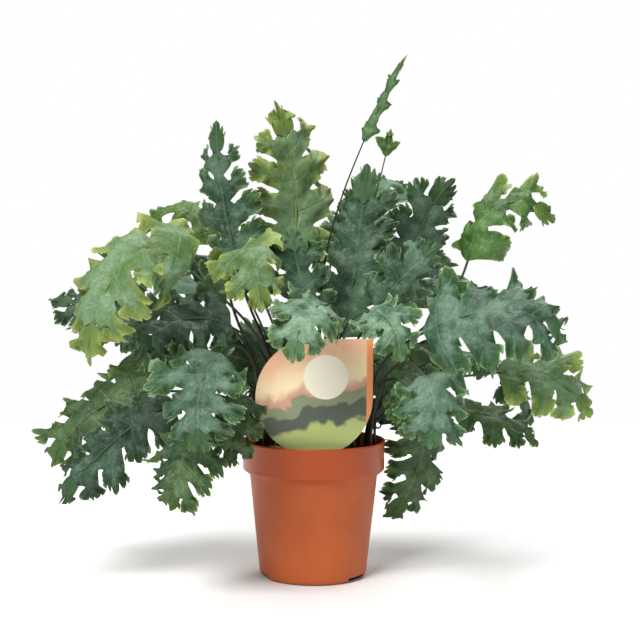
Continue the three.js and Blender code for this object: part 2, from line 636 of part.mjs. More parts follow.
// Gives the open sheet its thickness, with a raised rib under the midrib.
function bladeGeometry({ corners, triangles, onMidrib }) {
  const sheet = new THREE.BufferGeometry().setFromPoints(corners);
  sheet.setIndex(triangles.flat());
  sheet.computeVertexNormals();
  const normals = sheet.attributes.normal;
  const upper = [];
  const lower = [];
  corners.forEach((point, i) => {
    const up = new THREE.Vector3().fromBufferAttribute(normals, i);
    const keel = onMidrib.has(i) ? keelDepth : 0;
    upper.push(point.clone().addScaledVector(up, bladeHalfThickness));
    lower.push(point.clone().addScaledVector(up, -bladeHalfThickness - keel));
  });
  const count = corners.length;
  const edges = new Set(triangles.flatMap(([a, b, c]) => [`${a},${b}`, `${b},${c}`, `${c},${a}`]));
  const faces = [];
  for (const [a, b, c] of triangles) {
    faces.push(a, b, c, a + count, c + count, b + count);
    for (const [from, to] of [[a, b], [b, c], [c, a]]) {
      if (edges.has(`${to},${from}`)) continue;
      faces.push(from, from + count, to + count, from, to + count, to);
    }
  }
  const closed = new THREE.BufferGeometry().setFromPoints([...upper, ...lower]);
  closed.setIndex(faces);
  return closed;
}

function stalkGeometry(frond) {
  const { place } = bladeSurface(frond);
  const base = place(0, 0, 0);
  const along = place(stalkReach, 0, 0).sub(base).normalize();
  const under = place(0, 0, -keelDepth).sub(base);
  const path = new StalkPath(frond.root, base, along, under);
  const outline = new THREE.Shape();
  for (let i = 0; i < stalkSides; i += 1) {
    const angle = (i / stalkSides) * Math.PI * 2;
    const spot = [stalkRadius * Math.cos(angle), stalkRadius * Math.sin(angle)];
    if (i === 0) outline.moveTo(...spot);
    else outline.lineTo(...spot);
  }
  outline.closePath();
  const steps = Math.max(Math.round(path.getLength() / stalkStep), stalkFewestSteps);
  return new THREE.ExtrudeGeometry(outline, { extrudePath: path, steps, bevelEnabled: false });
}

function buildFrond(frond, index) {
  const blade = solidFrom(bladeGeometry(bladeSheet(frond, firstSeed + index * seedStep)));
  return geometryFrom(blade.add(solidFrom(stalkGeometry(frond))));
}

// ---------------------------------------------------------------- whole plant

const plant = new THREE.Group();
addPiece(plant, 'pot', buildPot(), potPlastic());
addPiece(plant, 'label', geometryFrom(labelSolid(0)), labelCard());
addPiece(plant, 'soil', buildSoil(labelSolid(stakeGap)), peat());
rhizomes.forEach((rhizome, i) => {
  const body = weld(rhizomeGeometry(rhizome, 0, scaleRelief));
  addPiece(plant, `rhizome_${i + 1}`, body, rhizomeScale());
});
fronds.forEach((frond, i) => {
  const name = `frond_${String(i + 1).padStart(2, '0')}`;
  addPiece(plant, name, buildFrond(frond, i), leafSkin(frond.leaf));
});

export default plant;
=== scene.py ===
# A potted fern: blue-green, ruffled fronds in a plastic nursery pot with a printed label card.
# Measures below are in millimetres, and meshes are scaled to metres when they are finished.
from bisect import bisect
from math import atan2, cos, hypot, pi, radians, sin, sqrt, tan
import bmesh
import bpy
from mathutils import Matrix, Vector, noise


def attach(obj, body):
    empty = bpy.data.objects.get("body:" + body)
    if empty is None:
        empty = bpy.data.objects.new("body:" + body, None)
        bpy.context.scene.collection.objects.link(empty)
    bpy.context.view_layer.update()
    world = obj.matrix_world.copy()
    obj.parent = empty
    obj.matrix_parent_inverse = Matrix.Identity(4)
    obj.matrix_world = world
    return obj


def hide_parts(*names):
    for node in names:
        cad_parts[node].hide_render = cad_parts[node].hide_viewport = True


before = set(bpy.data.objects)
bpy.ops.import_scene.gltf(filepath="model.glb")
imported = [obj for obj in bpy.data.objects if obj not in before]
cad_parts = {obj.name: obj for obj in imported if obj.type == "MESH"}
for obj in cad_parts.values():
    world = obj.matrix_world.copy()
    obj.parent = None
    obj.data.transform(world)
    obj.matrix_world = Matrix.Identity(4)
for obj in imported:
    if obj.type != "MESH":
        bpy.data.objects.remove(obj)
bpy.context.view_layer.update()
mm = 0.001
weldGap = 0.01  # points closer than this become one
tubeWeldGap = 0.0001
uvUnit = 100  # millimetres to one unit of a leaf's own map


# helpers for pieces

def seededDraw(seed):
    # the same seed always gives the same run of numbers
    last = 2147483647
    state = [seed * 48271 % last]

    def draw(low=0.0, high=1.0):
        state[0] = state[0] * 16807 % last
        return low + (high - low) * state[0] / last
    return draw


def newObject(name, data):
    thing = bpy.data.objects.new(name, data)
    bpy.context.scene.collection.objects.link(thing)
    return thing


def meshObject(name, bm):
    mesh = bpy.data.meshes.new(name)
    bm.to_mesh(mesh)
    bm.free()
    return newObject(name, mesh)


def finishPiece(name, bm, materials, node):
    bmesh.ops.scale(bm, vec=(mm, mm, mm), verts=bm.verts)
    piece = meshObject(name, bm)
    for material in materials:
        piece.data.materials.append(material)
    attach(piece, "root")
    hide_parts(node)
    return piece


def smoothFaces(bm):
    for face in bm.faces:
        face.smooth = True


def turnOnAxis(bm, profile, steps):
    # a profile of (radius, height) points spun round the upright axis
    points = [bm.verts.new((radius, 0, height)) for radius, height in profile]
    edges = [bm.edges.new(pair) for pair in zip(points, points[1:])]
    bmesh.ops.spin(bm, geom=points + edges, axis=(0, 0, 1), cent=(0, 0, 0), angle=2 * pi,
                   steps=steps, use_merge=True)
    bmesh.ops.remove_doubles(bm, verts=bm.verts, dist=weldGap)
    bmesh.ops.recalc_face_normals(bm, faces=bm.faces)


def tubeThrough(bm, points, radii, sides, materialIndex, layer, shares):
    # a tube of changing radius through the points, closed at both ends
    rows = len(points) - 1
    grid = bmesh.ops.create_grid(bm, x_segments=sides, y_segments=rows, size=1)["verts"]
    frameUp = Vector((1, 0, 0))
    spots = {}
    for row, point in enumerate(points):
        ahead = points[min(row + 1, rows)] - points[max(row - 1, 0)]
        ahead.normalize()
        frameUp = (frameUp - ahead * ahead.dot(frameUp)).normalized()
        spots[row] = (point, frameUp.copy(), ahead.cross(frameUp), radii[row])
    for vert in grid:
        row = round((vert.co.y + 1) / 2 * rows)
        turn = (vert.co.x + 1) * pi
        point, first, second, radius = spots[row]
        vert.co = point + (first * cos(turn) + second * sin(turn)) * radius
        vert[layer] = shares[row]
    faces = {face for vert in grid for face in vert.link_faces}
    for face in faces:
        face.material_index = materialIndex
        face.smooth = True
    bmesh.ops.remove_doubles(bm, verts=grid, dist=tubeWeldGap)
    openEdges = [e for face in faces if face.is_valid for e in face.edges if e.is_boundary]
    for face in bmesh.ops.holes_fill(bm, edges=list(set(openEdges)), sides=sides)["faces"]:
        face.material_index = materialIndex
        faces.add(face)
    bmesh.ops.recalc_face_normals(bm, faces=[face for face in faces if face.is_valid])


# helpers for materials

def feed(tree, node, inputs):
    # links an input to another node's output, or sets it to a constant
    for name, value in inputs.items():
        if isinstance(value, bpy.types.NodeSocket):
            tree.links.new(value, node.inputs[name])
        else:
            node.inputs[name].default_value = value


def addNode(tree, kind, inputs, **settings):
    node = tree.nodes.new(kind)
    for name, value in settings.items():
        setattr(node, name, value)
    feed(tree, node, inputs)
    return node


def colourOf(hexCode):
    # the linear colour of a hex code
    parts = [int(hexCode[i:i + 2], 16) / 255 for i in (1, 3, 5)]
    return tuple(p / 12.92 if p < 0.04045 else ((p + 0.055) / 1.055) ** 2.4 for p in parts) + (1,)


def mathOf(tree, operation, first, second):
    return addNode(tree, "ShaderNodeMath", {0: first, 1: second}, operation=operation).outputs[0]


def addOf(tree, first, second):
    return mathOf(tree, "ADD", first, second)


def timesOf(tree, first, second):
    return mathOf(tree, "MULTIPLY", first, second)


def stepOf(tree, value, low, high):
    # 0 below low, 1 above high and smooth between, or the other way round
    return addNode(tree, "ShaderNodeMapRange", {"Value": value, "From Min": low, "From Max": high},
                   interpolation_type="SMOOTHSTEP").outputs["Result"]


def rangeOf(tree, value, low, high):
    # the value from 0 to 1 spread over low to high
    return addNode(tree, "ShaderNodeMapRange", {
        "Value": value, "To Min": low, "To Max": high}).outputs["Result"]


def mixOf(tree, share, first, second):
    inputs = {0: share, 6: first, 7: second}
    return addNode(tree, "ShaderNodeMix", inputs, data_type="RGBA").outputs[2]


def washOver(tree, colour, washes):
    # each wash is (where, the colour laid over, how strong)
    for where, over, share in washes:
        colour = mixOf(tree, timesOf(tree, where, share), colour, over)
    return colour


def noiseOf(tree, vector, scale, detail=3.0, roughness=0.55, distortion=0.0):
    return addNode(tree, "ShaderNodeTexNoise", {
        "Vector": vector, "Scale": scale, "Detail": detail, "Roughness": roughness,
        "Distortion": distortion}).outputs["Fac"]


def partsOf(tree, vector):
    return addNode(tree, "ShaderNodeSeparateXYZ", {"Vector": vector}).outputs


def bumpOf(tree, height, strength, distance, normal=None):
    inputs = {"Height": height, "Strength": strength, "Distance": distance}
    if normal is not None:
        inputs["Normal"] = normal
    return addNode(tree, "ShaderNodeBump", inputs).outputs["Normal"]


def startMaterial(name):
    material = bpy.data.materials.new(name)
    material.use_nodes = True
    tree = material.node_tree
    place = addNode(tree, "ShaderNodeTexCoord", {}).outputs["Object"]
    return material, tree, tree.nodes["Principled BSDF"], place


def finishMaterial(tree, shader, colour, roughness, normal, specular):
    feed(tree, shader, {"Base Color": colour, "Roughness": roughness, "Normal": normal,
                        "Specular IOR Level": specular})


# pot

pot = {
    "height": 115, "rimRadius": 60, "bandRadius": 59.4, "bandBottom": 90.5,
    "shoulderRadius": 53.5, "shoulderBottom": 86, "footRadius": 45, "footHeight": 5,
    "baseRadius": 41.5, "wall": 1.4, "floor": 2, "steps": 144, "sharpFrom": 50,
    # how each moulded corner is rounded: steps out and up from it
    "baseEdge": ((-1, 0), (0, 0.3)),
    "footEdge": ((-1, -10 / 3), (0, 0)),
    "shoulderEdge": ((-0.1, -1.2), (0.2, -0.2), (0.9, 0.6)),
    "bandEdge": ((-0.8, -0.7), (-0.2, 0), (0, 0.8)),
    "rimEdge": ((-0.6, -2.6), (-0.1, -1.9), (0, -1.2), (-0.1, -0.5), (-0.5, -0.1), (-1, 0),
                (-1.6, -0.2), (-1.9, -0.7), (-2, -1.6)),
    "bandInside": ((0, 1.2), (-0.4, 0.2)),
    "shoulderInside": ((0.3, 0.6), (0, -0.4)),
    "floorEdge": ((0, 0.6), (-0.6, 0)),
    "drainAngles": (56, -71, 172), "drainSize": (22, 11, 8.8), "drainMiddle": 44.5,
    "plastic": "#B95A25", "pale": "#C66A3A", "deep": "#A4491D", "rim": "#A23F10",
    # the first colour on the next line is a near-black painted shade for the drain slots
    "inside": "#1A110C", "speck": "#6E3520",
    # patterns, in metres: how fine each is, and the height up to which dust lies
    "cloudScale": 14, "streakScale": (40, 40, 900), "speckScale": 420, "grainScale": 1500,
    "cloudSteps": (0.3, 0.75), "speckSteps": (0.66, 0.76), "dustSteps": (0.07, 0.02), "dustDrift": 0.04,
    "insideSteps": (0.0411, 0.0404), "roughness": (0.4, 0.54), "rimGloss": 0.16,
    "streakShare": 0.25, "rimShare": 0.7, "dustShare": 0.22, "speckShare": 0.25,
}


def makePotPlastic():
    material, tree, shader, place = startMaterial("potPlastic")
    cloud = noiseOf(tree, place, pot["cloudScale"], 4)
    streaks = addNode(tree, "ShaderNodeMapping", {"Vector": place, "Scale": pot["streakScale"]})
    lines = noiseOf(tree, streaks.outputs["Vector"], 1.0, 2)
    specks = stepOf(tree, noiseOf(tree, place, pot["speckScale"], 2), *pot["speckSteps"])
    height = partsOf(tree, place)["Z"]
    dust = stepOf(tree, addOf(tree, height, timesOf(tree, cloud, pot["dustDrift"])), *pot["dustSteps"])
    banded = stepOf(tree, height, pot["shoulderBottom"] * mm, pot["bandBottom"] * mm)
    colour = mixOf(tree, stepOf(tree, cloud, *pot["cloudSteps"]), colourOf(pot["deep"]),
                   colourOf(pot["plastic"]))
    colour = washOver(tree, colour, (
        (lines, colourOf(pot["pale"]), pot["streakShare"]),
        (banded, colourOf(pot["rim"]), pot["rimShare"]),
        (dust, colourOf(pot["pale"]), pot["dustShare"]),
        (specks, colourOf(pot["speck"]), pot["speckShare"])))
    # painted shade: within about 41 mm of the axis the plastic turns near-black, so the drain slots' cut
    # faces read as openings in shade; the hidden floor and underside darken with them
    flat = addNode(tree, "ShaderNodeVectorMath", {0: place, 1: (1, 1, 0)}, operation="MULTIPLY")
    fromAxis = addNode(tree, "ShaderNodeVectorMath", {0: flat.outputs["Vector"]}, operation="LENGTH")
    paintedShadeMask = stepOf(tree, fromAxis.outputs["Value"], *pot["insideSteps"])
    colour = mixOf(tree, paintedShadeMask, colour, colourOf(pot["inside"]))
    roughness = mathOf(tree, "SUBTRACT", rangeOf(tree, cloud, *pot["roughness"]),
                       timesOf(tree, banded, pot["rimGloss"]))
    normal = bumpOf(tree, lines, 0.12, 0.0004)
    normal = bumpOf(tree, noiseOf(tree, place, pot["grainScale"], 2), 0.12, 0.0002, normal)
    finishMaterial(tree, shader, colour, roughness, normal, 0.3)
    return material


def makePot():
    wall = pot["wall"]
    corners = (
        ("baseEdge", pot["baseRadius"], 0), ("footEdge", pot["footRadius"], pot["footHeight"]),
        ("shoulderEdge", pot["shoulderRadius"], pot["shoulderBottom"]),
        ("bandEdge", pot["bandRadius"], pot["bandBottom"]), ("rimEdge", pot["rimRadius"], pot["height"]),
        ("bandInside", pot["bandRadius"] - wall, pot["bandBottom"]),
        ("shoulderInside", pot["shoulderRadius"] - wall, pot["shoulderBottom"]),
        ("floorEdge", pot["baseRadius"] - wall, pot["floor"]))
    profile = [(0, 0)]
    for edge, radius, height in corners:
        profile += [(radius + out, height + up) for out, up in pot[edge]]
    profile.append((0, pot["floor"]))
    bm = bmesh.new()
    turnOnAxis(bm, profile, pot["steps"])
    smoothFaces(bm)
    for edge in bm.edges:
        if len(edge.link_faces) == 2 and edge.calc_face_angle(0) > radians(pot["sharpFrom"]):
            edge.smooth = False
    piece = finishPiece("pot_moulded", bm, [makePotPlastic()], "pot")
    cutter = bmesh.new()
    for angle in pot["drainAngles"]:
        cube = bmesh.ops.create_cube(cutter, size=1)["verts"]
        bmesh.ops.scale(cutter, vec=pot["drainSize"], verts=cube)
        bmesh.ops.translate(cutter, vec=(0, -pot["drainMiddle"], 0), verts=cube)
        turn = Matrix.Rotation(radians(angle), 3, "Z")
        bmesh.ops.rotate(cutter, cent=(0, 0, 0), matrix=turn, verts=cube)
    bmesh.ops.scale(cutter, vec=(mm, mm, mm), verts=cutter.verts)
    carve(piece, cutter)


def carve(piece, cutter):
    # cuts the shape in the cutter out of the piece, for good
    tool = meshObject("cutter", cutter)
    cut = piece.modifiers.new("cut", "BOOLEAN")
    cut.operation, cut.solver, cut.object = "DIFFERENCE", "EXACT", tool
    shaped = bpy.data.meshes.new_from_object(piece.evaluated_get(bpy.context.evaluated_depsgraph_get()))
    piece.modifiers.clear()
    piece.data = shaped
    bpy.data.objects.remove(tool)


print("pot")
makePot()

# soil

soil = {
    "top": 103, "lump": 1.9, "edge": 56.8, "neck": 51.3, "bottomRadius": 39, "bottom": 2.5,
    "neckHeight": 86.4, "bandHeight": 91.6, "rings": 26, "steps": 96,
    "waves": ((0.21, 0.13), (-0.08, 0.27), (0.53, -0.41)), "ripple": 0.5,
    # the rough grain of the top, kept off the outermost ring
    "grain": 1.1, "grainScale": 0.28, "grainDrop": 0.6, "ringMargin": 0.5,
    "crumbs": 420, "crumbSize": (0.5, 2.0), "crumbStretch": ((0.6, 1.6), (0.6, 1.2), (0.4, 0.8)),
    "crumbTilt": 0.7, "crumbRise": 0.15, "crumbSunk": 0.4, "crumbMargin": 1.5, "seed": 77,
    "peat": "#2A1F18", "damp": "#15100C", "dry": "#4A392B",
    "coarseScale": 160, "fineScale": 900, "dampSteps": (0.35, 0.65), "drySteps": (0.55, 0.75),
}


def soilHeight(x, y):
    long, cross, short = (x * across + y * along for across, along in soil["waves"])
    return soil["top"] + soil["lump"] * (sin(long) * cos(cross) + soil["ripple"] * sin(short))


def makePeat():
    material, tree, shader, place = startMaterial("peat")
    coarse = noiseOf(tree, place, soil["coarseScale"], 5, 0.65)
    fine = noiseOf(tree, place, soil["fineScale"], 4, 0.7)
    wet = stepOf(tree, coarse, *soil["dampSteps"])
    colour = mixOf(tree, wet, colourOf(soil["damp"]), colourOf(soil["peat"]))
    colour = mixOf(tree, stepOf(tree, fine, *soil["drySteps"]), colour, colourOf(soil["dry"]))
    normal = bumpOf(tree, coarse, 0.8, 0.002)
    normal = bumpOf(tree, fine, 0.7, 0.0006, normal)
    finishMaterial(tree, shader, colour, 0.92, normal, 0.2)
    return material


def makeSoil():
    bm = bmesh.new()
    edge, rings, margin = soil["edge"], soil["rings"], soil["ringMargin"]
    profile = [(0, soil["bottom"]), (soil["bottomRadius"], soil["bottom"]),
               (soil["neck"], soil["neckHeight"]), (edge, soil["bandHeight"])]
    profile += [(edge * (1 - ring / rings), soil["top"]) for ring in range(rings + 1)]
    turnOnAxis(bm, profile, soil["steps"])
    for vert in bm.verts:
        x, y, z = vert.co
        if z > soil["top"] - margin and hypot(x, y) < edge - margin:
            grain = noise.fractal(Vector((x, y, 0)) * soil["grainScale"], 0.8, 2.2, 4)
            vert.co.z = soilHeight(x, y) + grain * soil["grain"] - soil["grainDrop"]
    draw = seededDraw(soil["seed"])
    for _ in range(soil["crumbs"]):
        turn, reach = draw(0, 2 * pi), sqrt(draw()) * (edge - soil["crumbMargin"])
        x, y, size = reach * cos(turn), reach * sin(turn), draw(*soil["crumbSize"])
        crumb = bmesh.ops.create_icosphere(bm, subdivisions=1, radius=size)["verts"]
        bmesh.ops.scale(bm, vec=[draw(*span) for span in soil["crumbStretch"]], verts=crumb)
        tilt = soil["crumbTilt"]
        spin = Matrix.Rotation(draw(0, pi), 3, "Z") @ Matrix.Rotation(draw(-tilt, tilt), 3, "X")
        bmesh.ops.rotate(bm, cent=(0, 0, 0), matrix=spin, verts=crumb)
        z = soilHeight(x, y) + size * soil["crumbRise"] - soil["crumbSunk"]
        bmesh.ops.translate(bm, vec=(x, y, z), verts=crumb)
    smoothFaces(bm)
    finishPiece("soil_peat", bm, [makePeat()], "soil")


print("soil")
makeSoil()

# label card

label = {
    "radius": 47.5, "thickness": 0.8, "centre": (0, -43, 155), "lean": 2, "segments": 96,
    "stakeWidth": 15, "stakeTipWidth": 5, "stakeLength": 34, "stakeKnee": 0.6,
    "sky": "#E3AE88", "glow": "#F1DBAE", "dusk": "#C99479", "sage": "#7C8562", "deep": "#3F4A3A",
    "fresh": "#A9B565", "cream": "#EFE8D2", "edge": "#E58A4A", "back": "#D9D4C6", "backPale": "#E7E3D8",
    # the printed bands, each from one level on the card to another, and how they wave and slope
    "bands": (("sky", 8, 40), ("dusk", 12, 2), ("sage", 1, -2), ("deep", -9, -12), ("fresh", -22, -27)),
    "waveScale": 0.045, "waveHeight": 26, "slope": -0.22, "edgeStrip": (42.2, 42.8),
    "discPlace": (9.5, 16.5), "discRadius": 18, "discBlur": 0.3,
    "grainScale": 2500, "grainShare": 0.08, "dentScale": 60, "fibreScale": 900,
}


def makeLabelPrint():
    # soft, wavy bands of colour with a plain cream disc
    material, tree, shader, place = startMaterial("labelPrint")
    x, _, z = label["centre"]
    card = addNode(tree, "ShaderNodeMapping", {
        "Vector": place, "Location": (-x, 0, -z), "Scale": (1 / mm, 1 / mm, 1 / mm)}).outputs["Vector"]
    parts = partsOf(tree, card)
    across, up = parts["X"], parts["Z"]
    drift = noiseOf(tree, card, label["waveScale"], 2, 0.5, 0.6)
    swell = timesOf(tree, mathOf(tree, "SUBTRACT", drift, 0.5), label["waveHeight"])
    level = addOf(tree, addOf(tree, up, swell), timesOf(tree, across, label["slope"]))
    colour = colourOf(label["glow"])
    for band, low, high in label["bands"]:
        colour = mixOf(tree, stepOf(tree, level, low, high), colour, colourOf(label[band]))
    x, z = label["discPlace"]
    flat = addNode(tree, "ShaderNodeCombineXYZ", {"X": across, "Z": up}).outputs["Vector"]
    away = addNode(tree, "ShaderNodeVectorMath", {0: flat, 1: (x, 0, z)}, operation="DISTANCE")
    radius, blur = label["discRadius"], label["discBlur"]
    disc = stepOf(tree, away.outputs["Value"], radius + blur, radius - blur)
    colour = mixOf(tree, disc, colour, colourOf(label["cream"]))
    colour = mixOf(tree, stepOf(tree, across, *label["edgeStrip"]), colour, colourOf(label["edge"]))
    grain = noiseOf(tree, place, label["grainScale"], 2)
    colour = washOver(tree, colour, ((grain, colourOf("#FFFFFF"), label["grainShare"]),))
    normal = bumpOf(tree, noiseOf(tree, place, label["dentScale"], 2), 0.08, 0.001)
    finishMaterial(tree, shader, colour, 0.32, normal, 0.5)
    return material


def makeCardStock():
    material, tree, shader, place = startMaterial("cardStock")
    grain = noiseOf(tree, place, label["fibreScale"], 3)
    colour = mixOf(tree, stepOf(tree, grain, 0.35, 0.7), colourOf(label["back"]),
                   colourOf(label["backPale"]))
    finishMaterial(tree, shader, colour, 0.5, bumpOf(tree, grain, 0.1, 0.0002), 0.4)
    return material


def makeLabel():
    r, half, segments = label["radius"], label["stakeWidth"] / 2, label["segments"]
    join = -sqrt(r * r - half * half)
    tip, foot = label["stakeTipWidth"] / 2, -r - label["stakeLength"]
    knee = -r - label["stakeLength"] * label["stakeKnee"]
    stake = {-3: (-half, join), -2: (-half, knee), -1: (-tip, foot), 0: (0, foot),
             1: (tip, foot), 2: (half, knee), 3: (half, join)}
    bm = bmesh.new()
    ring = bmesh.ops.create_circle(bm, cap_ends=True, segments=segments, radius=r)["verts"]
    for vert in ring:
        turn = atan2(vert.co.y, vert.co.x)
        step = round((turn + pi / 2) / (2 * pi) * segments)
        if step in stake:
            vert.co.x, vert.co.y = stake[step]
        elif vert.co.x > 0 and vert.co.y > 0:
            vert.co *= r / max(abs(vert.co.x), abs(vert.co.y))  # the one squared corner
    bmesh.ops.recalc_face_normals(bm, faces=bm.faces)
    if bm.faces[:][0].normal.z < 0:
        bmesh.ops.reverse_faces(bm, faces=bm.faces[:])
    front = set(bm.faces)
    bmesh.ops.solidify(bm, geom=bm.faces[:], thickness=label["thickness"])
    for face in bm.faces:
        face.material_index = 0 if face in front else 1
    bmesh.ops.translate(bm, vec=(0, 0, label["thickness"] / 2), verts=bm.verts)
    lean = Matrix.Rotation(pi / 2 - radians(label["lean"]), 3, "X")
    bmesh.ops.rotate(bm, cent=(0, 0, 0), matrix=lean, verts=bm.verts)
    bmesh.ops.translate(bm, vec=label["centre"], verts=bm.verts)
    finishPiece("label_printed", bm, [makeLabelPrint(), makeCardStock()], "label")


print("label")
makeLabel()

# creeping stems

rhizome = {
    # where each starts and ends, how steeply it rises in degrees, and its radius
    "lie": (((-20, -45), (-35, -37), 26, 5.4), ((12, 26), (36, 34), 0, 4.8),
            ((-36, 26), (-14, 42), 0, 4.6)),
    "sunk": 0.3, "taper": 0.3, "rings": 18, "steps": 28, "firstSeed": 300,
    "scales": 260, "scaleSpan": (0.04, 0.97), "scaleLength": (2.4, 4.2), "scaleHalfWidth": 0.75,
    "scaleLie": 0.15, "scaleLift": 0.9, "scaleCurve": 1.6, "scaleKeel": 0.2, "scaleSeat": 0.3,
    "scaleThickness": 0.15, "endGap": 0.01,
    "gold": "#C8952F", "pale": "#E2BF66", "brown": "#7A4A1E",
    "cloudScale": 150, "fibreScale": 1600, "goldSteps": (0.3, 0.7), "paleSteps": (0.5, 0.8),
}


def makeScaleSkin():
    material, tree, shader, place = startMaterial("rhizomeScale")
    cloud = noiseOf(tree, place, rhizome["cloudScale"], 4)
    fibre = noiseOf(tree, place, rhizome["fibreScale"], 3)
    golden = stepOf(tree, cloud, *rhizome["goldSteps"])
    colour = mixOf(tree, golden, colourOf(rhizome["brown"]), colourOf(rhizome["gold"]))
    colour = mixOf(tree, stepOf(tree, fibre, *rhizome["paleSteps"]), colour, colourOf(rhizome["pale"]))
    finishMaterial(tree, shader, colour, 0.7, bumpOf(tree, fibre, 0.5, 0.0004), 0.3)
    return material


def makeRhizome(index, skin):
    start, end, rise, radius = rhizome["lie"][index]
    length = hypot(end[0] - start[0], end[1] - start[1]) / cos(radians(rise))
    draw = seededDraw(rhizome["firstSeed"] + index)
    rings, endGap, seat = rhizome["rings"], rhizome["endGap"], rhizome["scaleSeat"]

    def girth(share):
        return radius * sqrt(max(sin(pi * share), 0)) * (1 - rhizome["taper"] * share)
    bm = bmesh.new()
    profile = [(girth(ring / rings), length * ring / rings) for ring in range(rings + 1)]
    turnOnAxis(bm, profile, rhizome["steps"])
    stem = set(bm.faces)
    for _ in range(rhizome["scales"]):
        # a pointed scale that lies back along the stem, its tip lifted
        share, turn = draw(*rhizome["scaleSpan"]), draw(0, 2 * pi)
        long = draw(*rhizome["scaleLength"])
        blade = bmesh.ops.create_grid(bm, x_segments=2, y_segments=3, size=1)["verts"]
        for vert in blade:
            along = (vert.co.y + 1) / 2
            wide = vert.co.x * rhizome["scaleHalfWidth"] * (1 - along ** 2)
            lift = rhizome["scaleLie"] + rhizome["scaleLift"] * along ** rhizome["scaleCurve"]
            lift += rhizome["scaleKeel"] * (1 - abs(vert.co.x))
            spot = min(max(share + (along - seat) * long / length, endGap), 1 - endGap)
            out = girth(spot) + lift
            angle = turn + wide / max(girth(spot), 1)
            vert.co = (out * cos(angle), out * sin(angle), length * share + (along - seat) * long)
    scales = [face for face in bm.faces if face not in stem]
    bmesh.ops.solidify(bm, geom=scales, thickness=rhizome["scaleThickness"])
    smoothFaces(bm)
    heading = atan2(end[1] - start[1], end[0] - start[0])
    lay = Matrix.Rotation(heading, 3, "Z") @ Matrix.Rotation(pi / 2 - radians(rise), 3, "Y")
    bmesh.ops.rotate(bm, cent=(0, 0, 0), matrix=lay, verts=bm.verts)
    seatHeight = soil["top"] + radius * rhizome["sunk"]
    bmesh.ops.translate(bm, vec=(*start, seatHeight), verts=bm.verts)
    name = f"rhizome_{index + 1}"
    finishPiece(f"{name}_scaled", bm, [skin], name)


print("creeping stems")
scaleSkin = makeScaleSkin()
for index in range(len(rhizome["lie"])):
    makeRhizome(index, scaleSkin)

# leaves

# the same form as the solids: shares of a lobe's length, angles in degrees
leafForm = {
    "stalkRadius": 1.3, "stalkFoot": 12, "stalkRise": 45, "stalkReach": 9, "stalkBend": 0.4,
    "stalkClimb": 1.25, "keel": 0.8, "waistGrown": 0.35, "tooth": 0.87, "waistNarrowing": 0.86,
    "lobeGap": 1.2, "widestHalf": 0.4, "endOpening": 0.08, "lobedShare": 0.82, "tipOverhang": 0.22,
    "tipHalfWidth": 0.25, "tipWaist": 0.44, "tipTooth": 0.74, "notchTurn": 0.1, "notchReach": 0.7,
    "sweep": (4, 50), "sweepVariation": 5, "lobeHook": 0.1,
    "endShortening": 0.38, "oval": (0.2, 0.6), "tipShortening": 0.42, "lobeSpacing": 0.94,
    "lobeLengths": (0.84, 1.16), "curlDown": 65, "curlUp": 40, "curlLeast": 0.3, "downShare": 0.6,
    "twistMost": 38, "pleatHeight": 0.065, "pleatLeast": 0.4, "pleatCurve": 1.5,
    "waveHeight": 0.055, "waveAlong": 4, "waveAcross": 2, "nod": (0.2, 0.8),
    "firstSeed": 101, "seedStep": 37,
}

# what is finer here than in the solids
leafDetail = {
    "across": 18, "toSinus": 8, "toWaist": 5, "toEnd": 8, "curveSteps": 200, "thickness": 0.45,
    # waves along the edge, and a second run of them: how high and how fast beside the first
    "crinkle": 0.12, "crinkleTurns": 5, "crinkleGrowth": 1.4, "secondRipple": (0.55, 1.9),
    "crinkleCentre": 0.5, "tipCrinkleCentre": 0.3,
    # how uneven the sides and the teeth at the end of a lobe are
    "serration": 0.08, "notchDepths": (0.6, 1.4), "endTaper": (1.0, 2.0), "endCurve": 1.5,
    "toothShift": 0.03, "toothLength": 0.015, "plainBelow": 20, "plainPoint": 0.5,
    # waves over the whole blade: how high, and how many turns in a millimetre
    "pucker": ((3.2, 0.055), (1.9, 0.12), (0.6, 0.3)), "puckerShift": 9, "fold": (-0.6, 0.45),
    "stalkSides": 8, "stalkSteps": 26, "ribSteps": 16, "ribEnd": 0.35, "ribLength": 0.97,
    "stalkTop": 0.8, "fullStalk": 40, "slimmest": 0.5, "sinusMargin": 0.12, "chevron": 0.7,
    "firstSeed": 9001, "seedStep": 53, "tintSeed": 4400, "tintStep": 29,
}
# a lobe's end from the middle to a corner: way across, share of the lobe's length, and how much of
# it the notches between the teeth take
halfEnd = (
    (0.0, 1.0, 0.0), (0.19, 0.98, 0.02), (0.3, 0.97, 0.12), (0.4, 0.96, 0.02), (0.53, 0.945, 0.0),
    (0.67, 0.93, 0.02), (0.75, 0.92, 0.09), (0.83, 0.91, 0.01), (0.92, 0.895, 0.0), (1.0, 0.87, 0.05),
)
lobeEnd = [(-across, dome, notch) for across, dome, notch in halfEnd[:0:-1]] + list(halfEnd)
# the notches are shallow and round on some leaves and deep and sharp on others
notchDepth = {"blue": 1.15, "pale": 0.9, "green": 1.0, "dark": 1.1, "lime": 0.6, "olive": 0.75}

leafTones = ("blade", "bloom", "edge", "rim", "dark", "under")
leafColours = {
    "blue": ("#34542F", "#718E7A", "#638847", "#94B08A", "#1E3D24", "#4C694A"),
    "pale": ("#496943", "#8FAA90", "#7A9B55", "#AFC59C", "#2A5032", "#5A7B53"),
    "green": ("#385326", "#69855C", "#658035", "#86A066", "#213D1C", "#4F693A"),
    "dark": ("#294326", "#5C7868", "#49652A", "#748F6C", "#162F1A", "#3D5A38"),
    "lime": ("#57763A", "#7E9D7C", "#98AC58", "#B3C07A", "#3A5E28", "#748C3E"),
    "olive": ("#48682C", "#6B8A50", "#788E46", "#9AAB62", "#304B1A", "#637C36"),
}
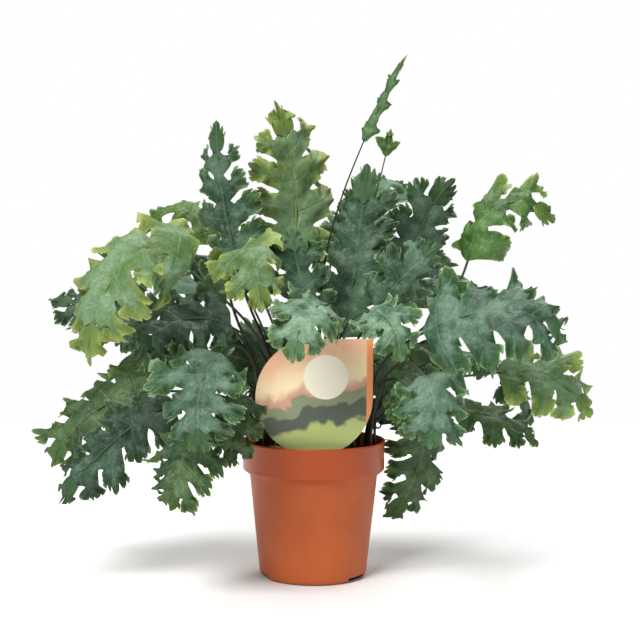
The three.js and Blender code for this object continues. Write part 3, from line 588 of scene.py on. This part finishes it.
# how far each colour's greener margin reaches in, and how strong it and the bloom are
leafMargins = {
    "blue": (0.8, 0.55, 0.5), "pale": (0.8, 0.6, 0.6), "green": (0.85, 0.6, 0.35),
    "dark": (0.95, 0.4, 0.35), "lime": (0.45, 0.8, 0.6), "olive": (0.6, 0.65, 0.3),
}
# patterns on the blade: those of the veins are in tenths of a metre along the flat leaf
leafLook = {
    "cloudScale": 34, "mottleScale": 150, "fineScale": 380, "netScale": 36, "rough": 0.6,
    "midrib": (0.014, 0.002), "lobeVein": (0.009, 0.002), "sideVein": (0.006, 0), "net": (0.09, 0),
    "sideVeinGap": 0.036, "sideVeinWaver": 0.05, "marginDrift": 1.1, "marginWidth": 1.0,
    "bloomInside": (1.1, 0.4), "bloomClouds": (0.66, 0.38), "bloomMottle": 0.5, "bloomMost": 0.8,
    "darkClouds": (0.42, 0.62), "underClouds": (0.7, 0.3), "rimFrom": (0.86, 1.0),
    "paleGrain": (0.5, 0.72), "darkGrain": (0.5, 0.3), "hue": (0.49, 0.51), "value": (0.88, 1.12),
}
stalkLook = {
    "dark": "#1C1A13", "brown": "#2B2D18", "streak": "#16120C", "brownOn": ("pale", "lime", "olive"),
    "streakScale": 500, "streakShare": 0.25, "greenFrom": (0.6, 1.02), "underFrom": (1.0, 1.2),
}

# where the stalk stands, the midrib's base, middle and tip, the way the upper side faces,
# the longest lobe, pairs of lobes, the share on which they are joined, arch, ruffle and colour
fronds = (
    ((-26, -22), (-96, -94, 260), (-140, -120, 270), (-171, -129, 198),
     (-0.3, -0.72, 0.62), 52, 4, 0.34, 10, 1.1, "lime"),
    ((-34, -10), (-66, -40, 264), (-52, -70, 274), (-42, -88, 234),
     (0.1, -0.7, 0.7), 40, 3, 0.38, 20, 0.85, "lime"),
    ((-22, 0), (-66, -5, 263), (-78, 5, 322), (-83, 5, 373),
     (-0.5, -0.8, 0.2), 36, 4, 0.22, 20, 0.6, "blue"),
    ((-8, 10), (-19, 15, 263), (-17, 25, 323), (-31, 20, 389),
     (0.3, -0.9, 0.3), 46, 4, 0.36, 25, 1, "lime"),
    ((8, -2), (24, -6, 200), (34, -2, 266), (42, 0, 336),
     (-0.3, -0.9, 0.35), 46, 5, 0.34, 30, 1, "blue"),
    ((20, 6), (70, 25, 226), (89, 42, 286), (113, 48, 327),
     (0.5, -0.75, 0.45), 48, 4, 0.38, 30, 1, "blue"),
    ((4, -14), (38, -40, 361), (57, -46, 403), (71, -50, 428),
     (-0.5, -1, 0.2), 10, 3, 0.4, 75, 0.5, "green"),
    ((12, 18), (60, 48, 353), (62, 48, 362), (64, 48, 374),
     (0, -1, 0.2), 14, 1, 0.3, 10, 0.3, "olive"),
    ((32, 4), (128, 16, 264), (156, 22, 312), (202, 30, 302),
     (-0.5, -0.7, 0.6), 40, 3, 0.24, 50, 0.9, "olive"),
    ((47, -14), (84, -88, 212), (138, -108, 230), (195, -102, 214),
     (0.1, -0.72, 0.68), 52, 4, 0.36, 24, 1.2, "blue"),
    ((46, -29), (81, -137, 184), (87, -161, 167), (85, -167, 138),
     (0, -0.9, 0.4), 38, 3, 0.34, 18, 0.9, "blue"),
    ((44, -6), (148, -36, 176), (188, -48, 174), (222, -50, 148),
     (0.2, -0.7, 0.6), 42, 3, 0.28, 44, 0.9, "lime"),
    ((45, 2), (114, 0, 142), (152, 0, 134), (188, 0, 114),
     (0.2, -0.6, 0.7), 28, 3, 0.35, 50, 0.9, "green"),
    ((43, 12), (89, 18, 146), (92, 24, 96), (68, 28, 44),
     (0.5, -0.9, 0.1), 42, 4, 0.3, 30, 0.7, "green"),
    ((0, -26), (12, -72, 232), (-5, -102, 227), (-16, -118, 196),
     (0, -0.75, 0.65), 36, 3, 0.34, 14, 0.9, "pale"),
    ((10, -22), (40, -62, 226), (56, -88, 223), (68, -98, 194),
     (0.1, -0.75, 0.65), 31, 3, 0.34, 14, 0.9, "pale"),
    ((-40, -18), (-72, -100, 196), (-86, -132, 170), (-84, -138, 128),
     (-0.1, -0.9, 0.4), 42, 4, 0.34, 18, 1, "blue"),
    ((-45, -12), (-96, -76, 138), (-102, -100, 110), (-112, -106, 80),
     (-0.3, -0.9, 0.3), 38, 4, 0.36, 35, 0.9, "green"),
    ((-44, 6), (-137, 0, 154), (-180, 0, 140), (-220, 0, 97),
     (-0.2, -0.8, 0.6), 44, 4, 0.36, 40, 0.8, "green"),
    ((-40, -2), (-112, -38, 150), (-156, -48, 124), (-206, -46, 72),
     (-0.2, -0.8, 0.5), 38, 4, 0.32, 40, 0.8, "dark"),
    ((-38, 14), (-140, 20, 204), (-183, 30, 218), (-222, 35, 230),
     (-0.1, -0.6, 0.8), 36, 4, 0.3, 40, 0.8, "dark"),
    ((-30, -14), (-66, -46, 212), (-102, -68, 220), (-138, -76, 196),
     (-0.1, -0.75, 0.65), 48, 4, 0.34, 18, 1, "blue"),
    ((-28, 16), (-84, 45, 276), (-119, 58, 308), (-156, 66, 284),
     (-0.2, -0.5, 0.9), 26, 3, 0.36, 60, 0.7, "olive"),
    ((-10, -16), (-2, -28, 212), (-12, -38, 252), (-18, -42, 286),
     (0, -0.9, 0.4), 36, 3, 0.34, 30, 1, "blue"),
    ((24, -12), (50, -32, 226), (72, -36, 254), (98, -36, 276),
     (0.1, -0.95, 0.3), 34, 3, 0.34, 35, 0.9, "blue"),
    ((50, -20), (68, -40, 170), (80, -56, 160), (90, -68, 126),
     (0.2, -0.9, 0.4), 34, 3, 0.4, 24, 0.8, "green"),
    ((-47, -20), (-56, -56, 158), (-62, -76, 142), (-66, -82, 108),
     (-0.2, -0.9, 0.4), 28, 3, 0.4, 18, 0.9, "green"),
    ((-14, -2), (-24, 4, 164), (-52, 4, 178), (-84, 2, 186),
     (-0.1, -1, 0.3), 42, 3, 0.4, 8, 0.6, "green"),
    ((-20, 28), (-50, 78, 236), (-82, 128, 262), (-118, 156, 226),
     (-0.3, 0.6, 0.8), 50, 3, 0.36, 45, 0.9, "blue"),
    ((2, 26), (14, 84, 262), (26, 136, 290), (36, 180, 248),
     (0.1, 0.6, 0.8), 52, 3, 0.36, 45, 0.9, "blue"),
    ((26, 22), (78, 71, 228), (120, 112, 246), (162, 136, 206),
     (0.4, 0.5, 0.8), 50, 3, 0.36, 45, 0.9, "blue"),
    ((-34, 22), (-96, 62, 184), (-142, 96, 184), (-180, 116, 136),
     (-0.4, 0.6, 0.7), 46, 3, 0.4, 45, 0.9, "green"),
    ((-10, 36), (-26, 90, 190), (-38, 142, 190), (-52, 172, 134),
     (-0.1, 0.8, 0.6), 50, 3, 0.4, 45, 0.9, "blue"),
    ((22, 36), (56, 88, 180), (84, 136, 176), (104, 160, 120),
     (0.3, 0.8, 0.5), 46, 3, 0.4, 45, 0.9, "green"),
    ((44, 22), (108, 56, 178), (156, 76, 176), (194, 84, 124),
     (0.5, 0.3, 0.8), 44, 3, 0.4, 45, 0.9, "blue"),
    ((-30, 22), (-98, 46, 232), (-142, 74, 250), (-180, 88, 210),
     (-0.3, 0.2, 0.9), 44, 3, 0.36, 45, 0.9, "blue"),
    ((6, 18), (34, 62, 288), (54, 92, 326), (72, 124, 334),
     (-0.1, -0.5, 0.9), 44, 3, 0.36, 40, 0.9, "blue"),
    ((38, 18), (57, 18, 124), (64, 18, 160), (65, 18, 192),
     (0.1, -1, 0.2), 27, 3, 0.4, 18, 0.8, "dark"),
    ((36, -9), (57, -6, 148), (62, -6, 170), (64, -6, 191),
     (0.1, -1, 0.2), 25, 3, 0.34, 10, 0.7, "green"),
)


def bladeSurface(base, mid, tip, face, width, arch):
    # where a point of the flat blade lies in space
    base, mid, tip, face = Vector(base), Vector(mid), Vector(tip), Vector(face)
    handle, steps = mid * 2 - (base + tip) / 2, leafDetail["curveSteps"]
    points = [base.lerp(handle, i / steps).lerp(handle.lerp(tip, i / steps), i / steps)
              for i in range(steps + 1)]
    reached = [0.0]
    for first, second in zip(points, points[1:]):
        reached.append(reached[-1] + (second - first).length)
    length = reached[-1]
    bend, hook = radians(arch) / width, leafForm["lobeHook"] / width

    def place(run, out, lift):
        run += hook * out ** 2
        gone = min(max(run, 0), length)
        i = min(bisect(reached, gone), steps) - 1
        t = (i + (gone - reached[i]) / (reached[i + 1] - reached[i])) / steps
        first, second = base.lerp(handle, t), handle.lerp(tip, t)
        along = (second - first).normalized()
        up = (face - along * along.dot(face)).normalized()
        side = along.cross(up)
        turn = bend * out
        return (first.lerp(second, t) + along * (run - gone)
                + side * (sin(turn) / bend + lift * sin(turn))
                + up * ((cos(turn) - 1) / bend + lift * cos(turn)))
    return length, place


def planLobes(width, pairs, joined, ruffle, length, draw):
    form = leafForm
    border = [length * form["lobedShare"] * (i / pairs) ** form["lobeSpacing"]
              for i in range(pairs + 1)]
    lobes = []
    for start, end in zip(border, border[1:]):
        share = (start + end) / 2 / length
        (ovalFrom, ovalSpan), (atBase, atTip) = form["oval"], form["sweep"]
        oval = 1 - form["endShortening"] * (1 - sin(pi * (ovalFrom + ovalSpan * share)))
        sweep = atBase + (atTip - atBase) * share + form["sweepVariation"] * (draw() - 0.5)
        curl = -form["curlDown"] if draw() < form["downShare"] else form["curlUp"]
        curl *= draw(form["curlLeast"], 1)
        full = width * oval * (1 - form["tipShortening"] * share ** 2)
        lobes.append({
            "from": start, "to": end, "centre": (start + end) / 2, "sweep": radians(sweep),
            "joined": joined, "waist": joined + (1 - joined) * form["waistGrown"],
            "length": full * draw(*form["lobeLengths"]),
            "curl": radians(curl) * ruffle,
            "twist": radians(form["twistMost"]) * draw(-1, 1) * ruffle,
            "pleat": width * form["pleatHeight"] * draw(form["pleatLeast"], 1) * ruffle,
            "wave": width * form["waveHeight"] * ruffle,
            "waveStart": draw() * pi * 2,
            "besideTip": width * form["tipHalfWidth"] + form["lobeGap"],
        })
    for i, lobe in enumerate(lobes):
        lobe["rear"] = roomBetween(lobe, lobes[i - 1] if i else None)
        lobe["front"] = roomBetween(lobe, lobes[i + 1] if i + 1 < pairs else None)
    return lobes


def roomBetween(lobe, other):
    # half the room between two veins at the midrib, and how much it opens further out
    if other is None:
        return (lobe["to"] - lobe["from"]) / 2 * cos(lobe["sweep"]), leafForm["endOpening"]
    apart = other["centre"] - lobe["centre"]
    angle = (other["sweep"] - lobe["sweep"]) * (1 if apart > 0 else -1)
    return abs(apart) * cos(other["sweep"]) / (1 + cos(angle)), tan(angle / 2)


def lobeReach(lobe, reach):
    # the way out from the midrib that a share of the curled lobe covers
    joined = lobe["joined"]
    grown = max(0, (reach - joined) / (1 - joined))
    arc = (1 - joined) * lobe["length"] / lobe["curl"]
    forward = min(reach, joined) * lobe["length"] + arc * sin(lobe["curl"] * grown)
    return grown, arc, forward


def freeRoom(lobe, reach, side):
    # half the width that the lobe may take, beside its neighbours and the lobe at the tip
    form, sweep = leafForm, lobe["sweep"]
    grown, _, forward = lobeReach(lobe, reach)
    atMidrib, opening = lobe["rear"] if side < 0 else lobe["front"]
    free = atMidrib + opening * forward - form["lobeGap"] / 2
    free = min(free, lobe["length"] * form["widestHalf"])
    if side > 0 and grown > 0:
        beside = max((forward * cos(sweep) - lobe["besideTip"]) / sin(sweep), 0)
        ease = min(grown / form["waistGrown"], 1)
        free += (min(free, beside) - free) * ease
    return free


def lobeSpot(lobe, reach, sideways, across):
    # a point of a side lobe: the way along the midrib, the way out and the height
    form, sweep = leafForm, lobe["sweep"]
    grown, arc, forward = lobeReach(lobe, reach)
    flat = sideways * cos(lobe["twist"] * grown)
    root = 1 - grown if grown > 0 else reach / lobe["joined"]
    lift = arc * (1 - cos(lobe["curl"] * grown))
    lift += lobe["pleat"] * (1 - abs(across) ** form["pleatCurve"]) * root
    lift += sideways * sin(lobe["twist"] * grown)
    wave = lobe["waveStart"] + form["waveAlong"] * grown + form["waveAcross"] * across
    lift += lobe["wave"] * grown * across ** 2 * sin(wave)
    lift += lobe["fold"] * abs(sideways) * grown
    return Vector((lobe["centre"] + forward * sin(sweep) + flat * cos(sweep),
                   forward * cos(sweep) - flat * sin(sweep), lift))


def notchPoint(lobe, following, dip):
    if following:
        sweep = lobe["sweep"] + (following["sweep"] - lobe["sweep"]) / 2
        reach = lobe["joined"] * (lobe["length"] + following["length"]) / 2
    else:
        sweep = lobe["sweep"] + (pi / 2 - lobe["sweep"]) * leafForm["notchTurn"]
        reach = lobe["joined"] * lobe["length"] * leafForm["notchReach"]
    return Vector((lobe["to"] + reach * sin(sweep), reach * cos(sweep), dip))


def between(first, middle, last, across):
    # a smooth way through three points, for across from -1 to 1
    return middle + (last - first) / 2 * across + ((first + last) / 2 - middle) * across ** 2


def edgeRipple(margin, sideways, forward, size, phases):
    # the crinkled edge: waves that follow the lobe's outline and grow towards it
    turn = atan2(sideways, forward) * leafDetail["crinkleTurns"]
    height, pace = leafDetail["secondRipple"]
    waves = sin(turn + phases[0]) + height * sin(turn * pace + phases[1])
    return size * leafDetail["crinkle"] * margin ** leafDetail["crinkleGrowth"] * waves


def cutEnd(chance, width, leaf):
    # each lobe's own teeth: (way across, share) for every column, and a plain point on a small frond
    detail = leafDetail
    shift, long = detail["toothShift"], detail["toothLength"]
    depth, taper = notchDepth[leaf] * chance(*detail["notchDepths"]), chance(*detail["endTaper"])
    ends = []
    for across, dome, notch in lobeEnd:
        share = 1 - (1 - dome) * taper - notch * depth
        if width < detail["plainBelow"]:
            share = 1 - detail["plainPoint"] * abs(across)
        if 0 < abs(across) < 1:
            across += chance(-shift, shift)
        ends.append((across, share + chance(-long, long)))
    return ends


def towardsEnd(across, endAcross, t):
    # between a lobe's waist and its end: the way across, and how near the outline that is
    grown = t ** leafDetail["endCurve"]
    waist = leafForm["waistNarrowing"] * across
    return waist + (endAcross - waist) * grown, 1 - (1 - across ** 2) * (1 - grown)


def towardsWaist(across, t):
    # how near the outline a point between the notches and the waist is
    sinus = leafDetail["sinusMargin"]
    return across ** 2 * (sinus + (1 - sinus) * t)


def onRib(run):
    return Vector((run, 0, 0))


def layLobe(bm, layers, rows, spotAt, place, side):
    # a grid of faces laid where spotAt says, with its distances for the material
    across = leafDetail["across"]
    grid = bmesh.ops.create_grid(bm, x_segments=across, y_segments=rows, size=1)["verts"]
    faces = {face for vert in grid for face in vert.link_faces}
    spots = {}
    for vert in grid:
        column, row = round((vert.co.x + 1) / 2 * across), round((vert.co.y + 1) / 2 * rows)
        spots[vert] = spotAt(column, row)
    for face in faces:
        face.smooth = True
        for loop in face.loops:
            (run, out, _), _, vein, chevron = spots[loop.vert]
            loop[layers["flat"]].uv = (run / uvUnit, out / uvUnit)
            loop[layers["lobed"]].uv = (vein / uvUnit, chevron / uvUnit)
    for vert in grid:
        (run, out, lift), margin, _, _ = spots[vert]
        vert[layers["margin"]] = margin
        vert.co = place(run, side * out, lift)
    if side > 0:
        bmesh.ops.reverse_faces(bm, faces=list(faces))


def layBlade(bm, layers, frond, index):
    width, pairs, joined, arch, ruffle, leaf = frond[5:]
    form, detail = leafForm, leafDetail
    draw = seededDraw(form["firstSeed"] + index * form["seedStep"])
    chance = seededDraw(detail["firstSeed"] + index * detail["seedStep"])
    length, place = bladeSurface(*frond[1:6], arch)
    nod = radians(-form["curlDown"]) * ruffle * draw(*form["nod"])
    toSinus, toWaist, toEnd = detail["toSinus"], detail["toWaist"], detail["toEnd"]
    rows = toSinus + toWaist + toEnd
    corners = {}
    for side in (-1, 1):
        lobes = planLobes(width, pairs, joined, ruffle, length, draw)
        behind = Vector((form["stalkRadius"], form["stalkRadius"] * 2, 0))
        for i, lobe in enumerate(lobes):
            dip = 2 * width * form["pleatHeight"] * ruffle * (draw() - 0.5)
            ahead = notchPoint(lobe, lobes[i + 1] if i + 1 < pairs else None, dip)
            ends = cutEnd(chance, width, leaf)
            lobe["fold"] = chance(*detail["fold"])
            phases = (chance(0, 2 * pi), chance(0, 2 * pi))
            notches = [1 + detail["serration"] * chance(-1, 1) for _ in range(2 * (rows + 1))]

            def edgeSpot(reach, across, narrow):
                return lobeSpot(lobe, reach, across * narrow * freeRoom(lobe, reach, across), across)

            def spotAt(column, row):
                across = column / detail["across"] * 2 - 1
                if row <= toSinus:
                    t = row / toSinus
                    reach, margin = joined * t, detail["sinusMargin"] * t * across ** 2
                    first, last = onRib(lobe["from"]).lerp(behind, t), onRib(lobe["to"]).lerp(ahead, t)
                    sideways = across * freeRoom(lobe, reach, across)
                elif row <= toSinus + toWaist:
                    t = (row - toSinus) / toWaist
                    reach, margin = joined + (lobe["waist"] - joined) * t, towardsWaist(across, t)
                    narrow = 1 - (1 - form["waistNarrowing"]) * sqrt(1 - (1 - t) ** 2)
                    first, last = [
                        edgeSpot(reach, edge, narrow) + (notch - edgeSpot(joined, edge, 1)) * (1 - t) ** 2
                        for edge, notch in ((-1, behind), (1, ahead))]
                    sideways = across * freeRoom(lobe, reach, across) * narrow
                else:
                    t = (row - toSinus - toWaist) / toEnd
                    endAcross, endShare = ends[column]
                    reach = lobe["waist"] + (endShare - lobe["waist"]) * t
                    share, margin = towardsEnd(across, endAcross, t)
                    if abs(across) == 1 and t < 1:
                        share *= notches[row + (rows if across > 0 else 0)]
                    sideways = share * freeRoom(lobe, reach, across)
                if row <= toSinus + toWaist:
                    spot = between(first, lobeSpot(lobe, reach, 0, 0), last, across)
                else:
                    spot = lobeSpot(lobe, reach, sideways, share)
                if row > toSinus:
                    forward = (reach - detail["crinkleCentre"]) * lobe["length"]
                    spot.z += edgeRipple(margin, sideways, forward, width * ruffle, phases)
                for height, scale in detail["pucker"]:
                    where = Vector((spot.x, spot.y * side, index * detail["puckerShift"])) * scale
                    spot.z += height * noise.noise(where)
                vein = abs(sideways)
                return spot, margin, vein, reach * lobe["length"] - detail["chevron"] * vein
            layLobe(bm, layers, rows, spotAt, place, side)
            behind = ahead
        corners[side] = Vector((behind.x, side * behind.y, behind.z))

    # the lobe at the tip lies on both sides of the midrib
    start = length * form["lobedShare"]
    tipLong = length * (1 - form["lobedShare"]) + width * form["tipOverhang"]
    ends = cutEnd(chance, width, leaf)
    phases = (chance(0, 2 * pi), chance(0, 2 * pi))
    half = width * form["tipHalfWidth"]

    def tipSpot(share, across):
        return Vector((start + sin(nod * share) * tipLong / nod, across * half,
                       (1 - cos(nod * share)) * tipLong / nod))

    def tipAt(column, row):
        across = column / detail["across"] * 2 - 1
        if row <= toWaist:
            t = row / toWaist
            share, margin = form["tipWaist"] * t, towardsWaist(across, t)
            straight = onRib(start).lerp(corners[-1 if across < 0 else 1], abs(across))
            waist = tipSpot(share, across * form["waistNarrowing"])
            spot = straight.lerp(waist, 1 - (1 - t) ** 2)
        else:
            t = (row - toWaist) / toEnd
            endAcross, endShare = ends[column]
            endShare = 1 - (1 - endShare) * (1 - form["tipTooth"]) / (1 - form["tooth"])
            share = form["tipWaist"] + (endShare - form["tipWaist"]) * t
            wide, margin = towardsEnd(across, endAcross, t)
            spot = tipSpot(share, wide)
            forward = (share - detail["tipCrinkleCentre"]) * tipLong
            spot.z += edgeRipple(margin, wide * half, forward, width * ruffle, phases)
        return spot, margin, abs(spot.y), share * tipLong - detail["chevron"] * abs(spot.y)
    layLobe(bm, layers, toWaist + toEnd, tipAt, place, 1)
    return length, place


def layStalk(bm, layers, frond, length, place):
    # the stalk rises out of the soil, bends to the blade and runs on as its midrib
    root, form, detail = frond[0], leafForm, leafDetail
    foot = Vector((*root, soil["top"] - form["stalkFoot"]))
    collar = Vector((*root, soil["top"]))
    end = place(0, 0, -form["keel"])
    along = (place(form["stalkReach"], 0, 0) - place(0, 0, 0)).normalized()
    reach = (end - collar).length * form["stalkBend"]
    rise = collar + Vector((0, 0, max(reach * form["stalkClimb"], form["stalkRise"])))
    lead = end - along * reach
    points, radii, shares = [foot, foot.lerp(collar, 0.5)], [], [0.0, 0.0]
    for i in range(detail["stalkSteps"]):
        t = i / detail["stalkSteps"]
        a, b, c = collar.lerp(rise, t), rise.lerp(lead, t), lead.lerp(end, t)
        points.append(a.lerp(b, t).lerp(b.lerp(c, t), t))
        shares.append(t)
    shares += [1 + i / detail["ribSteps"] for i in range(detail["ribSteps"] + 1)]
    slim = min(max(frond[5] / detail["fullStalk"], detail["slimmest"]), 1)
    for share in shares:
        onBlade = max(share - 1, 0)
        thin = 1 - (1 - slim * detail["stalkTop"]) * min(share, 1)
        radii.append(form["stalkRadius"] * thin * (1 - onBlade) + detail["ribEnd"] * onBlade)
        if share >= 1:
            points.append(place(length * detail["ribLength"] * onBlade, 0, -radii[-1]))
    tubeThrough(bm, points, radii, detail["stalkSides"], 2, layers["rise"], shares)


def thicken(bm, thickness):
    # a second side straight under each corner of the sheet
    bm.normal_update()
    vectors = bm.verts.layers.float_vector
    seat, below = vectors.new("seat"), vectors.new("below")
    for vert in bm.verts:
        vert[seat], vert[below] = vert.co, vert.normal * -thickness
    upper = set(bm.verts)
    bmesh.ops.solidify(bm, geom=bm.faces[:], thickness=thickness)
    for vert in bm.verts:
        if vert not in upper:
            vert.co = Vector(vert[seat]) + Vector(vert[below])
    for name in ("seat", "below"):
        vectors.remove(vectors[name])


def makeFrond(index, skins):
    frond, leaf = fronds[index], fronds[index][-1]
    bm = bmesh.new()
    layers = {name: bm.loops.layers.uv.new(name) for name in ("flat", "lobed")}
    layers.update({name: bm.verts.layers.float.new(name) for name in ("margin", "rise", "tint")})
    length, place = layBlade(bm, layers, frond, index)
    bmesh.ops.remove_doubles(bm, verts=bm.verts, dist=weldGap)
    upper = set(bm.faces)
    thicken(bm, leafDetail["thickness"])
    for face in bm.faces:
        if face not in upper:
            face.material_index = 1
            for edge in face.edges:
                if any(other in upper for other in edge.link_faces):
                    edge.smooth = False
    layStalk(bm, layers, frond, length, place)
    tint = seededDraw(leafDetail["tintSeed"] + index * leafDetail["tintStep"])()
    for vert in bm.verts:
        vert[layers["tint"]] = tint
    name = f"frond_{index + 1:02d}"
    finishPiece(f"{name}_leaf", bm, skins[leaf], name)


def attributeOf(tree, name):
    return addNode(tree, "ShaderNodeAttribute", {}, attribute_name=name).outputs["Fac"]


def tonesOf(leaf):
    return {tone: colourOf(code) for tone, code in zip(leafTones, leafColours[leaf])}


def makeLeafSkin(leaf, side):
    tones, look = tonesOf(leaf), leafLook
    marginFrom, edgeShare, bloomShare = leafMargins[leaf]
    material, tree, shader, place = startMaterial(f"leaf_{leaf}_{side}")
    margin, tint = attributeOf(tree, "margin"), attributeOf(tree, "tint")
    lobed = addNode(tree, "ShaderNodeUVMap", {}, uv_map="lobed").outputs["UV"]
    flat = addNode(tree, "ShaderNodeUVMap", {}, uv_map="flat").outputs["UV"]
    fromVein, chevron, _ = partsOf(tree, lobed)
    fromMidrib = mathOf(tree, "ABSOLUTE", partsOf(tree, flat)["Y"], 0)
    cloud = noiseOf(tree, place, look["cloudScale"], 3, look["rough"])
    mottle = noiseOf(tree, place, look["mottleScale"], 4, look["rough"])
    fine = noiseOf(tree, place, look["fineScale"], 3, look["rough"])
    midrib = stepOf(tree, fromMidrib, *look["midrib"])
    lobeVein = stepOf(tree, fromVein, *look["lobeVein"])
    waver = addOf(tree, chevron, timesOf(tree, cloud, look["sideVeinWaver"]))
    sideVeins = mathOf(tree, "PINGPONG", waver, look["sideVeinGap"])
    sideVeins = stepOf(tree, sideVeins, *look["sideVein"])
    cells = addNode(tree, "ShaderNodeTexVoronoi", {"Vector": flat, "Scale": look["netScale"]},
                    feature="DISTANCE_TO_EDGE").outputs["Distance"]
    net = stepOf(tree, cells, *look["net"])
    inner = addOf(tree, margin, timesOf(tree, cloud, look["marginDrift"]))
    outer = stepOf(tree, inner, marginFrom, marginFrom + look["marginWidth"])
    if side == "upper":
        powder = addOf(tree, stepOf(tree, cloud, *look["bloomClouds"]),
                       timesOf(tree, mottle, look["bloomMottle"]))
        bloomed = timesOf(tree, stepOf(tree, inner, *look["bloomInside"]),
                          timesOf(tree, powder, look["bloomMost"]))
        colour = mixOf(tree, stepOf(tree, cloud, *look["darkClouds"]), tones["blade"], tones["dark"])
        colour = washOver(tree, colour, (
            (outer, tones["edge"], edgeShare), (bloomed, tones["bloom"], bloomShare),
            (stepOf(tree, fine, *look["paleGrain"]), tones["bloom"], 0.3),
            (stepOf(tree, fine, *look["darkGrain"]), tones["dark"], 0.35),
            (net, tones["dark"], 0.2), (sideVeins, tones["bloom"], 0.14),
            (lobeVein, tones["bloom"], 0.2), (midrib, tones["bloom"], 0.3),
            (stepOf(tree, margin, *look["rimFrom"]), tones["rim"], 0.65)))
        veinBump, roughness = -0.4, 0.4
    else:
        colour = mixOf(tree, stepOf(tree, cloud, *look["underClouds"]), tones["under"], tones["blade"])
        colour = washOver(tree, colour, (
            (outer, tones["edge"], 0.4), (net, tones["blade"], 0.12), (lobeVein, tones["bloom"], 0.3)))
        veinBump, roughness = 0.5, 0.6
    shade = addNode(tree, "ShaderNodeHueSaturation", {
        "Hue": rangeOf(tree, tint, *look["hue"]), "Value": rangeOf(tree, tint, *look["value"]),
        "Color": colour}).outputs["Color"]
    ridges = addOf(tree, lobeVein, timesOf(tree, sideVeins, 0.5))
    ridges = addOf(tree, ridges, timesOf(tree, net, 0.3))
    ridges = addOf(tree, ridges, midrib)
    normal = bumpOf(tree, mottle, 0.45, 0.0014)
    normal = bumpOf(tree, fine, 0.4, 0.0008, normal)
    normal = bumpOf(tree, timesOf(tree, ridges, veinBump), 0.9, 0.0008, normal)
    finishMaterial(tree, shader, shade, roughness, normal, 0.28)
    return material


def makeStalkSkin(leaf):
    tones, look = tonesOf(leaf), stalkLook
    material, tree, shader, place = startMaterial(f"stalk_{leaf}")
    rise = attributeOf(tree, "rise")
    streak = noiseOf(tree, place, look["streakScale"], 3)
    low = colourOf(look["brown" if leaf in look["brownOn"] else "dark"])
    colour = mixOf(tree, stepOf(tree, rise, *look["greenFrom"]), low, tones["dark"])
    colour = mixOf(tree, stepOf(tree, rise, *look["underFrom"]), colour, tones["under"])
    colour = washOver(tree, colour, ((streak, colourOf(look["streak"]), look["streakShare"]),))
    finishMaterial(tree, shader, colour, 0.5, bumpOf(tree, streak, 0.2, 0.0003), 0.3)
    return material


print("fronds")
skins = {leaf: [makeLeafSkin(leaf, "upper"), makeLeafSkin(leaf, "under"), makeStalkSkin(leaf)]
         for leaf in leafColours}
for index in range(len(fronds)):
    makeFrond(index, skins)

# camera, light and floor

# fitted to the pot's outline in the photo: millimetres, pixels and radians
view = {
    "away": 1250, "height": 301.66, "focal": 1501.15, "pitch": 0.06929, "roll": 0.00688,
    "yaw": 0.00363, "photoWidth": 640, "sensor": 36,
}
studio = {
    "floor": "#FCFCFB", "floorSize": 1.9, "floorRoughness": 0.9, "sky": 0.2, "backdrop": 1.0,
    "aim": (0, 0, 0.2),
    # each light's power, size and place
    "lights": {
        "key": (57, 1.2, (-0.9, -1.5, 1.7)), "fill": (5, 1.4, (1.6, -1.1, 0.9)),
        "top": (28, 1.4, (0.1, 0.5, 2.0)), "back": (12, 1.4, (0.9, 1.6, 1.2))},
}


def placeCamera():
    camera = bpy.data.cameras.new("camera")
    camera.sensor_width = view["sensor"]
    camera.lens = view["sensor"] * view["focal"] / view["photoWidth"]
    holder = newObject("camera", camera)
    turn = Matrix.Rotation(view["pitch"], 3, "X") @ Matrix.Rotation(view["yaw"], 3, "Z")
    right, ahead, up = turn
    tilted = right * cos(view["roll"]) + up * sin(view["roll"])
    upright = up * cos(view["roll"]) - right * sin(view["roll"])
    holder.matrix_world = Matrix((
        (tilted.x, upright.x, -ahead.x, 0), (tilted.y, upright.y, -ahead.y, -view["away"] * mm),
        (tilted.z, upright.z, -ahead.z, view["height"] * mm), (0, 0, 0, 1)))
    bpy.context.scene.camera = holder


def placeLight(name, power, size, spot):
    light = bpy.data.lights.new(name, "AREA")
    light.energy, light.shape, light.size = power, "DISK", size
    holder = newObject(name, light)
    holder.location = spot
    aim = Vector(studio["aim"]) - Vector(spot)
    holder.rotation_euler = aim.to_track_quat("-Z", "Y").to_euler()


def layFloor():
    bm = bmesh.new()
    bmesh.ops.create_grid(bm, x_segments=1, y_segments=1, size=studio["floorSize"] / 2)
    floor = meshObject("floor", bm)
    material = bpy.data.materials.new("floor")
    material.use_nodes = True
    feed(material.node_tree, material.node_tree.nodes["Principled BSDF"], {
        "Base Color": colourOf(studio["floor"]), "Roughness": studio["floorRoughness"]})
    floor.data.materials.append(material)


def lightBackdrop():
    # the backdrop looks white, but lights the plant softly
    world = bpy.data.worlds.new("studio")
    bpy.context.scene.world = world
    world.use_nodes = True
    tree = world.node_tree
    seen = addNode(tree, "ShaderNodeLightPath", {}).outputs["Is Camera Ray"]
    glow = rangeOf(tree, seen, studio["sky"], studio["backdrop"])
    feed(tree, tree.nodes["Background"], {"Color": colourOf("#FFFFFF"), "Strength": glow})


print("camera, light and floor")
bpy.context.scene.view_settings.view_transform = "Standard"
placeCamera()
layFloor()
lightBackdrop()
for name, (power, size, spot) in studio["lights"].items():
    placeLight(name, power, size, spot)
